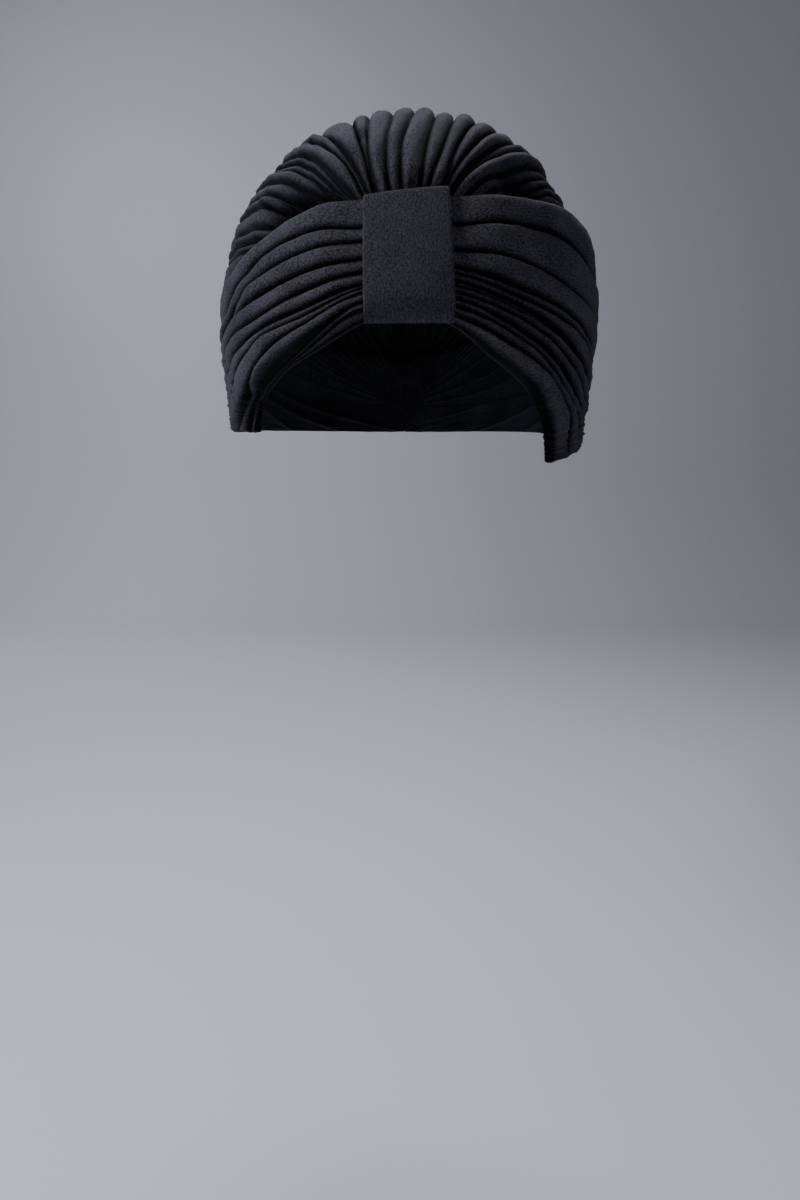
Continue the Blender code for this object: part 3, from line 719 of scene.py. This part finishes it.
def ray_to_form(start, direction):
    """Where rays from a point inside the form meet it, and how far they go."""
    near = np.zeros(direction.shape[:-1])
    far = near + 2.0 * (FORM_BACK_DEPTH + FORM_DOME_RISE)
    for _ in range(RAY_STEPS):
        middle = (near + far) / 2.0
        x, y, z = np.moveaxis(start + direction * middle[..., None], -1, 0)
        inside = form_value(x, y, z) < 1.0
        near = np.where(inside, middle, near)
        far = np.where(inside, far, middle)
    return start + direction * near[..., None], near


def crown_seats(run, shares):
    """Where the crown's rows and columns meet the form, and how wide the fan is on each row."""
    front, back = crown_gathers()
    axis = (back - front) / np.linalg.norm(back - front)
    upright = np.array([0.0, -axis[2], axis[1]])
    sideways = np.array([1.0, 0.0, 0.0])
    turn = np.radians(FAN_ANGLE * (shares - 0.5))[..., None]
    tip = np.radians(run)[:, None, None]
    direction = -np.cos(tip) * axis + np.sin(tip) * (np.sin(turn) * sideways + np.cos(turn) * upright)
    seat, reach = ray_to_form((front + back) / 2.0, direction)
    arc = (math.radians(FAN_ANGLE) * reach.mean(axis=1) * np.sin(tip[:, 0, 0]))[:, None]
    return seat, arc


def crown_sheet(material):
    """The crown as a closed sheet of jersey."""
    chance = np.random.default_rng(SEED)
    owners, turns = pleat_columns(pleat_shares(CROWN_PLEATS, "crest"))
    stations = np.array(list(FAN_STATIONS.values()))
    station_widths = np.array([pleat_shares(CROWN_PLEATS, name) for name in FAN_STATIONS])
    steps = np.linspace(0.0, 1.0, CROWN_ROWS)
    run = GATHER_OPENING + (180.0 - NAPE_OPENING - GATHER_OPENING) * steps
    widths = smooth_path(stations, station_widths, np.clip(run, stations[0], stations[-1]))
    edges = wandered_edges(chance, widths, steps, CROWN_WANDER)
    shares = column_shares(edges, owners, turns, CROWN_LEAN)
    seat, arc = crown_seats(run, shares)
    cover = crown_cover(seat)
    tallest = CROWN_PLEAT_HEIGHT + (CROWN_TUCK_HEIGHT - CROWN_PLEAT_HEIGHT) * cover
    rounder = smooth_step((owners / len(CROWN_PLEATS) - ROUNDER_FROM) / ROUNDER_RUN)
    fullness = FLAT_PLEAT_FULLNESS + (ROUND_PLEAT_FULLNESS - FLAT_PLEAT_FULLNESS) * rounder
    widths = np.diff(edges, axis=1) * arc
    stand = pleat_stand(chance, widths, owners, turns, tallest, steps, fullness)
    dived = smooth_step((FLAP_LINE - run) / FLAP_RUN)[:, None]
    stand[:, owners == FLAP_PLEAT] *= 1.0 - FLAP_DEPTH * dived
    distance = np.cumsum(np.linalg.norm(np.diff(seat, axis=0, prepend=seat[:1]), axis=-1), axis=0)
    soft = ripples(chance, distance, (shares - 0.5) * arc) * (1.0 - cover)
    off = stand + soft - CROWN_SINK * cover - crown_dents(seat)
    normal = form_normal(seat[..., 0], seat[..., 1], seat[..., 2])
    outer = seat + normal * off[..., None]
    inner = seat + normal * (off - stand * (1.0 - UNDERSIDE_STAND) - CLOTH_WALL)[..., None]
    # Painted shade in the grooves, reaching further over the pleats' lower side on the crown's left, then
    # painted shade in the dents, darkest where they go deepest.
    shade = LEFT_CROWN_SHADE + (RIGHT_CROWN_SHADE - LEFT_CROWN_SHADE) * rounder
    fold = groove_shade(widths, owners, turns, CROWN_LEAN, RIGHT_CROWN_SHADE, shade)
    fold = fold * (1.0 - smooth_step(crown_dents(seat) / HOLLOW_SHADE_DEPTH))
    uv = np.stack([distance, (shares - 0.5) * arc], axis=-1)
    return closed_sheet("crown_cloth", outer, inner, uv, fold, material)


def grid_loop(rows, columns):
    """The grid places round a sheet's edge, each with its neighbour one step in from the edge."""
    top = [((0, column), (1, column)) for column in range(columns - 1)]
    right = [((row, columns - 1), (row, columns - 2)) for row in range(rows - 1)]
    bottom = [((rows - 1, column), (rows - 2, column)) for column in range(columns - 1, 0, -1)]
    left = [((row, 0), (row, 1)) for row in range(rows - 1, 0, -1)]
    return top + right + bottom + left


def sheet_faces(number, edge):
    """The faces of a closed sheet: its outer side, its inner side and the fold that joins them."""
    first = number[:-1, :-1].ravel()
    across = number[:-1, 1:].ravel()
    opposite = number[1:, 1:].ravel()
    along = number[1:, :-1].ravel()
    outside = np.stack([first, across, opposite, along], axis=-1)
    inside = np.stack([along, opposite, across, first], axis=-1) + number.size
    rims = 2 * number.size + np.arange(len(edge))
    after = np.roll(edge, -1)
    rims_after = np.roll(rims, -1)
    upper = np.stack([after, edge, rims, rims_after], axis=-1)
    lower = np.stack([rims_after, rims, edge + number.size, after + number.size], axis=-1)
    return np.concatenate([outside, inside, upper, lower])


def mark_points(mesh, label, values):
    """Gives each point of a mesh its value of something."""
    attribute = mesh.attributes.new(label, "FLOAT", "POINT")
    attribute.data.foreach_set("value", values)


def linked(name, data):
    """A new object in the scene."""
    thing = bpy.data.objects.new(name, data)
    bpy.context.scene.collection.objects.link(thing)
    return thing


def closed_sheet(name, outer, inner, uv, fold, material):
    """A closed mesh from the outer and inner sides of a sheet, its edges rounded like a fold."""
    rows, columns = outer.shape[:2]
    count = rows * columns
    loop = grid_loop(rows, columns)
    number = np.arange(count).reshape(rows, columns)
    edge = np.array([number[place] for place, _ in loop])
    next_in = np.array([number[place] for _, place in loop])
    out_points = outer.reshape(-1, 3)
    in_points = inner.reshape(-1, 3)
    away = out_points[edge] - out_points[next_in]
    away = away / np.linalg.norm(away, axis=-1, keepdims=True)
    wall = np.linalg.norm(out_points[edge] - in_points[edge], axis=-1, keepdims=True)
    rim = (out_points[edge] + in_points[edge]) / 2.0 + away * wall / 2.0
    points = np.concatenate([out_points, in_points, rim])
    faces = sheet_faces(number, edge)
    mesh = bpy.data.meshes.new(name)
    mesh.from_pydata(points.tolist(), [], faces.tolist())
    mesh.shade_smooth()
    mesh.materials.append(material)
    flat = uv.reshape(-1, 2)
    spread = np.concatenate([flat, flat, flat[edge]])
    layer = mesh.uv_layers.new(name="cloth")
    layer.data.foreach_set("uv", spread[faces.ravel()].ravel())
    # The fold mark carries painted shade: the groove shade on the outer side and the rim, and an even
    # painted shade over the inner side.
    shade = fold.ravel()
    mark_points(mesh, "fold", np.concatenate([shade, np.full(count, INSIDE_SHADE), shade[edge]]))
    mark_points(mesh, "outside", np.concatenate([np.ones(count), np.zeros(count + len(edge))]))
    return linked(name, mesh)


def add_node(tree, kind, settings=None, feeds=None):
    """Adds a node with its settings, and feeds its inputs with sockets or values."""
    node = tree.nodes.new(kind)
    for name, value in (settings or {}).items():
        setattr(node, name, value)
    for name, value in (feeds or {}).items():
        if isinstance(value, bpy.types.NodeSocket):
            tree.links.new(value, node.inputs[name])
        else:
            node.inputs[name].default_value = value
    return node


def linear(hex_colour):
    """An sRGB hex colour as linear red, green, blue and alpha."""
    light = []
    for start in (1, 3, 5):
        part = int(hex_colour[start : start + 2], 16) / 255.0
        curved = ((part + SRGB_OFFSET) / (1.0 + SRGB_OFFSET)) ** SRGB_POWER
        light.append(part / SRGB_SLOPE if part <= SRGB_KNEE else curved)
    return (*light, 1.0)


def brushed_jersey(name, dark, light, groove, grain_depth):
    """Brushed jersey with a knit grain along the cloth and a fine nap, and painted shade mixed in towards
    the groove colour where each point's fold mark is low.
    """
    material = bpy.data.materials.new(name)
    material.use_nodes = True
    tree = material.node_tree
    shader = tree.nodes["Principled BSDF"]
    shader.inputs["Sheen Tint"].default_value = linear(NAP_TINT)
    for socket, value in JERSEY_FINISH.items():
        shader.inputs[socket].default_value = value
    place = add_node(tree, "ShaderNodeTexCoord").outputs
    stretch = {"Vector": place["UV"], "Scale": (1.0 / GRAIN_STRETCH, 1.0, 1.0)}
    along = add_node(tree, "ShaderNodeMapping", {}, stretch).outputs["Vector"]
    patterns = []
    for where, width, detail in (
        (along, GRAIN_WIDTH, GRAIN_DETAIL),
        (place["Object"], NAP_WIDTH, NAP_DETAIL),
        (place["Object"], CLOUD_WIDTH, CLOUD_DETAIL),
    ):
        grains = {"Vector": where, "Scale": 1.0 / width, "Detail": detail, "Roughness": PATTERN_ROUGHNESS}
        patterns.append(add_node(tree, "ShaderNodeTexNoise", {}, grains).outputs["Fac"])
    grain, nap, cloud = patterns
    speckle = add_node(tree, "ShaderNodeMath", {"operation": "ADD"}, {0: grain, 1: nap}).outputs[0]
    clouding = {0: cloud, 1: CLOUD_SHARE, 2: speckle}
    worn = add_node(tree, "ShaderNodeMath", {"operation": "MULTIPLY_ADD"}, clouding).outputs[0]
    span = {"Value": worn, "From Min": DARKEST_PATTERN, "From Max": LIGHTEST_PATTERN}
    tone = add_node(tree, "ShaderNodeMapRange", {}, span).outputs["Result"]
    cloth_tones = {"Factor": tone, MIX_FIRST: linear(dark), MIX_SECOND: linear(light)}
    cloth = add_node(tree, "ShaderNodeMix", {"data_type": "RGBA"}, cloth_tones).outputs[MIX_RESULT]
    # Painted shade: the fold mark mixes the cloth's colour towards the groove colour, down to the groove
    # colour itself in the grooves.
    fold = add_node(tree, "ShaderNodeAttribute", {"attribute_name": "fold"}).outputs["Fac"]
    painted_shade_tones = {"Factor": fold, MIX_FIRST: linear(groove), MIX_SECOND: cloth}
    colour = add_node(tree, "ShaderNodeMix", {"data_type": "RGBA"}, painted_shade_tones).outputs[MIX_RESULT]
    tree.links.new(colour, shader.inputs["Base Color"])
    weave = {0: grain, 1: grain_depth, 2: nap}
    height = add_node(tree, "ShaderNodeMath", {"operation": "MULTIPLY_ADD"}, weave).outputs[0]
    relief = {"Height": height, "Strength": NAP_BUMP_STRENGTH, "Distance": NAP_BUMP}
    bump = add_node(tree, "ShaderNodeBump", {}, relief)
    tree.links.new(bump.outputs["Normal"], shader.inputs["Normal"])
    return material


def plain_matt(name, colour, roughness):
    """An even matt finish."""
    material = bpy.data.materials.new(name)
    material.use_nodes = True
    shader = material.node_tree.nodes["Principled BSDF"]
    shader.inputs["Base Color"].default_value = linear(colour)
    shader.inputs["Roughness"].default_value = roughness
    return material


def node_recipe(name, sizes, seeds=()):
    """An empty geometry tree, with a mesh and its named inputs in and geometry out."""
    inputs = {"Mesh": "Geometry", **dict.fromkeys(sizes, "Float"), **dict.fromkeys(seeds, "Int")}
    inputs["Material"] = "Material"
    tree = bpy.data.node_groups.new(name, "GeometryNodeTree")
    for label, kind in inputs.items():
        tree.interface.new_socket(label, in_out="INPUT", socket_type="NodeSocket" + kind)
    tree.interface.new_socket("Result", in_out="OUTPUT", socket_type="NodeSocketGeometry")
    return tree, add_node(tree, "NodeGroupInput").outputs


def end_recipe(tree, result, material):
    """Ends a geometry tree with real meshes in their material."""
    real = add_node(tree, "GeometryNodeRealizeInstances", {}, {"Geometry": result})
    smooth = add_node(tree, "GeometryNodeSetShadeSmooth", {}, {"Geometry": real.outputs[0]})
    cloth = {"Geometry": smooth.outputs[0], "Material": material}
    dressed = add_node(tree, "GeometryNodeSetMaterial", {}, cloth)
    add_node(tree, "NodeGroupOutput", {}, {"Result": dressed.outputs[0]})


def made_by_recipe(name, source, tree, values):
    """A plain mesh object made from a source mesh by a geometry tree with the given values."""
    holder = linked(name + "_source", source)
    modifier = holder.modifiers.new("recipe", "NODES")
    modifier.node_group = tree
    for socket in tree.interface.items_tree:
        if socket.name in values:
            modifier[socket.identifier] = values[socket.name]
    view = bpy.context.evaluated_depsgraph_get()
    mesh = bpy.data.meshes.new_from_object(holder.evaluated_get(view), depsgraph=view)
    bpy.data.objects.remove(holder)
    return linked(name, mesh)


def nap_recipe():
    """Fine loose fibres scattered over the outer side of a brushed cloth."""
    tree, given = node_recipe("nap_fibres", ["Density", "Fibre Length", "Fibre Radius"], ["Seed"])
    side = add_node(tree, "GeometryNodeInputNamedAttribute", {"data_type": "FLOAT"}, {"Name": "outside"})
    above = {"data_type": "FLOAT", "operation": "GREATER_THAN"}
    marks = {0: side.outputs["Attribute"], 1: OUTSIDE_MARK}
    outside = add_node(tree, "FunctionNodeCompare", above, marks)
    scatter = {label: given[label] for label in ("Mesh", "Density", "Seed")}
    scatter["Selection"] = outside.outputs[0]
    spread = add_node(tree, "GeometryNodeDistributePointsOnFaces", {}, scatter)
    bow = {"Resolution": FIBRE_FACES, "Start": (0.0, 0.0, 0.0), "Middle": FIBRE_MIDDLE, "End": FIBRE_END}
    path = add_node(tree, "GeometryNodeCurveQuadraticBezier", {}, bow)
    stretch = {"Geometry": path.outputs[0], "Scale": given["Fibre Length"]}
    long_path = add_node(tree, "GeometryNodeTransform", {}, stretch)
    round_side = {"Resolution": FIBRE_FACES, "Radius": given["Fibre Radius"]}
    section = add_node(tree, "GeometryNodeCurvePrimitiveCircle", {}, round_side)
    sweep = {"Curve": long_path.outputs[0], "Profile Curve": section.outputs[0], "Fill Caps": True}
    fibre = add_node(tree, "GeometryNodeCurveToMesh", {}, sweep)
    turns = {0: LEAST_FIBRE_TURN, 1: MOST_FIBRE_TURN, "Seed": given["Seed"]}
    lean = add_node(tree, "FunctionNodeRandomValue", {"data_type": "FLOAT_VECTOR"}, turns)
    turning = {"Rotation": spread.outputs["Rotation"], "Rotate By": lean.outputs[0]}
    turned = add_node(tree, "FunctionNodeRotateRotation", {"rotation_space": "LOCAL"}, turning)
    lengths = {2: SHORTEST_FIBRE, 3: LONGEST_FIBRE, "Seed": given["Seed"]}
    size = add_node(tree, "FunctionNodeRandomValue", {"data_type": "FLOAT"}, lengths)
    laid = {
        "Points": spread.outputs["Points"],
        "Instance": fibre.outputs[0],
        "Rotation": turned.outputs[0],
        "Scale": size.outputs[1],
    }
    fibres = add_node(tree, "GeometryNodeInstanceOnPoints", {}, laid)
    end_recipe(tree, fibres.outputs[0], given["Material"])
    return tree


def band_recipe(sizes):
    """A flat folded band swept down its line, bent round the brow and tilted at its top."""
    tree, given = node_recipe("centre_band", sizes)
    by_length = {"mode": "LENGTH"}
    line = add_node(tree, "GeometryNodeMeshToCurve", {}, {"Mesh": given["Mesh"]})
    rows = {"Curve": line.outputs[0], "Length": given["Step"]}
    path = add_node(tree, "GeometryNodeResampleCurve", by_length, rows)
    flat_side = {"Width": given["Width"], "Height": given["Wall"]}
    section = add_node(tree, "GeometryNodeCurvePrimitiveQuadrilateral", {}, flat_side)
    rounding = {"Curve": section.outputs[0], "Count": BAND_EDGE_FACES, "Radius": given["Edge Round"]}
    rounding["Limit Radius"] = True
    rounded = add_node(tree, "GeometryNodeFilletCurve", {"mode": "POLY"}, rounding)
    columns = {"Curve": rounded.outputs[0], "Length": given["Step"]}
    even = add_node(tree, "GeometryNodeResampleCurve", by_length, columns)
    sweep = {"Curve": path.outputs[0], "Profile Curve": even.outputs[0], "Fill Caps": True}
    swept = add_node(tree, "GeometryNodeCurveToMesh", {}, sweep)
    place = add_node(tree, "GeometryNodeInputPosition")
    parts = add_node(tree, "ShaderNodeSeparateXYZ", {}, {0: place.outputs[0]})
    known = {"x": parts.outputs["X"], "z": parts.outputs["Z"], **{size: given[size] for size in sizes}}
    for row in BAND_SUMS:
        feeds = {0: known.get(row["first"], row["first"]), 1: known.get(row["second"], row["second"])}
        result = add_node(tree, "ShaderNodeMath", {"operation": row["sum"]}, feeds).outputs[0]
        known[row["result"]] = result
    moves = {"X": known["sideways"], "Y": known["bend"], "Z": known["rise"]}
    shift = add_node(tree, "ShaderNodeCombineXYZ", {}, moves)
    moved = {"Geometry": swept.outputs[0], "Offset": shift.outputs[0]}
    bent = add_node(tree, "GeometryNodeSetPosition", {}, moved)
    end_recipe(tree, bent.outputs[0], given["Material"])
    return tree


def chain_mesh(name, points):
    """A mesh of points joined one after another."""
    mesh = bpy.data.meshes.new(name)
    links = [(number, number + 1) for number in range(len(points) - 1)]
    mesh.from_pydata([tuple(point) for point in points], links, [])
    return mesh


def stitch_recipe(sizes):
    """Thread stitches laid across a seam at an even spacing."""
    tree, given = node_recipe("seam_stitches", sizes, ["Seed"])
    times = {"operation": "MULTIPLY"}
    seam = add_node(tree, "GeometryNodeMeshToCurve", {}, {"Mesh": given["Mesh"]})
    steps = {"Curve": seam.outputs[0], "Length": given["Spacing"]}
    places = add_node(tree, "GeometryNodeCurveToPoints", {"mode": "LENGTH"}, steps)
    half = add_node(tree, "ShaderNodeMath", times, {0: given["Stitch Length"], 1: 0.5}).outputs[0]
    other_half = add_node(tree, "ShaderNodeMath", times, {0: half, 1: -1.0}).outputs[0]
    start = add_node(tree, "ShaderNodeCombineXYZ", {}, {"X": other_half})
    top = add_node(tree, "ShaderNodeCombineXYZ", {}, {"Y": given["Rise"]})
    end = add_node(tree, "ShaderNodeCombineXYZ", {}, {"X": half})
    bow = {"Start": start.outputs[0], "Middle": top.outputs[0], "End": end.outputs[0]}
    bow["Resolution"] = THREAD_FACES
    path = add_node(tree, "GeometryNodeCurveQuadraticBezier", {}, bow)
    round_side = {"Resolution": THREAD_FACES, "Radius": given["Thread Radius"]}
    section = add_node(tree, "GeometryNodeCurvePrimitiveCircle", {}, round_side)
    sweep = {"Curve": path.outputs[0], "Profile Curve": section.outputs[0], "Fill Caps": True}
    stitch = add_node(tree, "GeometryNodeCurveToMesh", {}, sweep)
    other_tilt = add_node(tree, "ShaderNodeMath", times, {0: given["Tilt"], 1: -1.0}).outputs[0]
    least = add_node(tree, "ShaderNodeCombineXYZ", {}, {"Y": other_tilt})
    most = add_node(tree, "ShaderNodeCombineXYZ", {}, {"Y": given["Tilt"]})
    tilts = {0: least.outputs[0], 1: most.outputs[0], "Seed": given["Seed"]}
    lean = add_node(tree, "FunctionNodeRandomValue", {"data_type": "FLOAT_VECTOR"}, tilts)
    laid = {"Points": places.outputs["Points"], "Instance": stitch.outputs[0], "Rotation": lean.outputs[0]}
    stitches = add_node(tree, "GeometryNodeInstanceOnPoints", {}, laid)
    end_recipe(tree, stitches.outputs[0], given["Material"])
    return tree


def nape_seam_line(wings):
    """Points down the seam at the nape, on the cloth of both wings."""
    line = []
    top = NAPE_SEAM_HEIGHT - SEAM_MARGIN
    foot = NAPE_HEM_HEIGHT + SEAM_MARGIN
    for height in np.linspace(top, foot, SEAM_POINTS):
        depths = []
        for wing, side in zip(wings, (-1.0, 1.0)):
            start = Vector((side * STITCH_LENGTH / 2.0, 2.0 * FORM_BACK_DEPTH, height))
            met, place, _, _ = wing.ray_cast(start, Vector((0.0, -1.0, 0.0)))
            if met:
                depths.append(place.y)
        line.append((0.0, min(depths), height))
    return line


def nape_stitches(wings, material):
    """The stitches that close the seam between the wings at the nape."""
    sizes = {
        "Spacing": STITCH_SPACING,
        "Stitch Length": STITCH_LENGTH,
        "Thread Radius": THREAD_RADIUS,
        "Rise": STITCH_RISE,
        "Tilt": STITCH_TILT,
    }
    seam = chain_mesh("nape_seam", nape_seam_line(wings))
    values = {**sizes, "Seed": SEED, "Material": material}
    return made_by_recipe("nape_seam_stitches", seam, stitch_recipe(sizes), values)


def band_middle():
    """The line of the band's middle, halfway through its wall, from the top fold to the foot."""
    heights = np.array([step["height"] for step in BAND_LINE]) * BAND_HEIGHT + BAND_FOOT
    offs = np.array([step["off"] for step in BAND_LINE]) * SEAT_OF_BAND - BAND_WALL / 2.0
    knots = np.arange(len(BAND_LINE), dtype=float)
    at = np.linspace(0.0, knots[-1], BAND_LINE_POINTS * len(BAND_LINE))
    line = place_on_form(np.zeros(len(heights)), heights, offs)
    return smooth_path(knots, line, at)


def band_sheet(material):
    """The centre band, with its cloth's places across and along it."""
    sizes = {
        "Width": BAND_WIDTH,
        "Wall": BAND_WALL,
        "Edge Round": BAND_EDGE_ROUND,
        "Step": BAND_STEP,
        "Bend Radius": FORM_HALF_WIDTH**2 / FORM_FRONT_DEPTH,
        "Tilt": BAND_TILT,
        "Spread": BAND_SPREAD,
        "Shift": BAND_SHIFT,
        "Foot": BAND_FOOT,
        "Height": BAND_HEIGHT,
    }
    line = chain_mesh("band_line", band_middle())
    values = {**sizes, "Material": material}
    piece = made_by_recipe("band_cloth", line, band_recipe(sizes), values)
    mesh = piece.data
    points = np.zeros(3 * len(mesh.vertices))
    mesh.vertices.foreach_get("co", points)
    points = points.reshape(-1, 3)
    corners = np.zeros(len(mesh.loops), dtype=int)
    mesh.loops.foreach_get("vertex_index", corners)
    layer = mesh.uv_layers.new(name="cloth")
    layer.data.foreach_set("uv", points[corners][:, [2, 0]].ravel())
    for label in ("fold", "outside"):
        mark_points(mesh, label, np.ones(len(points)))
    return piece


def photo_camera():
    """The camera that the photograph was taken from."""
    lens = bpy.data.cameras.new("photo_camera")
    lens.sensor_fit = "VERTICAL"
    lens.sensor_height = FRAME_HEIGHT
    lens.lens = LENS_LENGTH
    camera = linked("photo_camera", lens)
    camera.location = CAMERA_PLACE
    camera.rotation_euler = (math.radians(90.0 - CAMERA_DIP), 0.0, 0.0)
    bpy.context.scene.camera = camera


def soft_box(name, place, target, size, power):
    """A square soft box that points at a target."""
    lamp = bpy.data.lights.new(name, "AREA")
    lamp.size = size
    lamp.energy = power
    lamp.color = linear(LIGHT_COLOUR)[:3]
    light = linked(name, lamp)
    light.location = place
    light.rotation_euler = (Vector(target) - Vector(place)).to_track_quat("-Z", "Y").to_euler()
    light.visible_camera = False


def paper_backdrop():
    """Matt background paper, pale and without gloss, that lies flat below and curves up behind."""
    profile = [(-PAPER_REACH, PAPER_HEIGHT)]
    for turn in np.linspace(0.0, np.pi / 2.0, PAPER_BEND_STEPS):
        back = PAPER_BEND_START + PAPER_BEND * math.sin(turn)
        profile.append((back, PAPER_HEIGHT + PAPER_BEND * (1.0 - math.cos(turn))))
    profile.append((PAPER_BEND_START + PAPER_BEND, PAPER_REACH))
    points = [(side * PAPER_REACH, y, z) for y, z in profile for side in (-1.0, 1.0)]
    lefts = range(0, len(points) - 2, 2)
    faces = [(left, left + 1, left + 3, left + 2) for left in lefts]
    mesh = bpy.data.meshes.new("backdrop")
    mesh.from_pydata(points, [], faces)
    mesh.shade_smooth()
    mesh.materials.append(plain_matt("pale_paper", colour="#c4c6c9", roughness=0.9))
    return linked("backdrop", mesh)


def studio():
    """The five soft boxes, the little light from all round and the paper backdrop."""
    world = bpy.data.worlds.new("studio_air")
    world.use_nodes = True
    air = world.node_tree.nodes["Background"]
    air.inputs["Color"].default_value = linear(AIR_COLOUR)
    air.inputs["Strength"].default_value = AIR_STRENGTH
    bpy.context.scene.world = world
    for box in SOFT_BOXES:
        soft_box(**box)
    backdrop = paper_backdrop()


def declare(piece, node, fibres):
    """Joins a sheet and its loose fibres to the body, and hides the solid of the node that it stands for.
    """
    for part in (piece, fibres):
        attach(part, "root")
    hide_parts(node)


def loose_nap(sheet, recipe, seed, material):
    """The loose fibres of one sheet."""
    values = {
        "Density": NAP_DENSITY,
        "Fibre Length": FIBRE_LENGTH,
        "Fibre Radius": FIBRE_RADIUS,
        "Seed": seed,
        "Material": material,
    }
    return made_by_recipe(sheet.name.replace("_cloth", "_nap"), sheet.data.copy(), recipe, values)


photo_camera()
studio()

# The jersey of the pleats is brushed softer than the band's, so its grain is shallower.
# Each groove colour is painted shade, mixed in where the fold mark is low; the band's fold mark is 1 all
# over, so it shows no painted shade.
jersey = brushed_jersey(
    "pleated_brushed_jersey", dark="#131316", light="#494a50", groove="#020202", grain_depth=0.5
)
band_jersey = brushed_jersey(
    "band_brushed_jersey", dark="#1a1a1d", light="#424348", groove="#020202", grain_depth=0.9
)

# Cotton fibre brushed out of the jersey: dull and grey, so it softens the pleats' edges. The
# thread is spun polyester dyed like the cloth: a little smoother, so a stitch shows faintly.
nap = plain_matt("loose_cotton_fibre", colour="#3a3c42", roughness=0.9)
thread = plain_matt("spun_polyester_thread", colour="#1a1a1d", roughness=0.7)

crown = crown_sheet(jersey)
wing_left = wing_sheet("wing_left_cloth", LEFT_SECTIONS, LEFT_END, LEFT_PLEATS, -1, SEED + 1, jersey)
wing_right = wing_sheet("wing_right_cloth", RIGHT_SECTIONS, RIGHT_END, RIGHT_PLEATS, 1, SEED + 2, jersey)
band = band_sheet(band_jersey)

recipe = nap_recipe()
naps = []
for seed, sheet in enumerate([crown, wing_left, wing_right, band], start=1):
    naps.append(loose_nap(sheet, recipe, seed, nap))
crown_nap, left_nap, right_nap, band_nap = naps
declare(crown, "crown", crown_nap)
declare(wing_left, "wing_left", left_nap)
declare(wing_right, "wing_right", right_nap)
declare(band, "centre_band", band_nap)

stitches = nape_stitches([wing_left, wing_right], thread)
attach(stitches, "root")
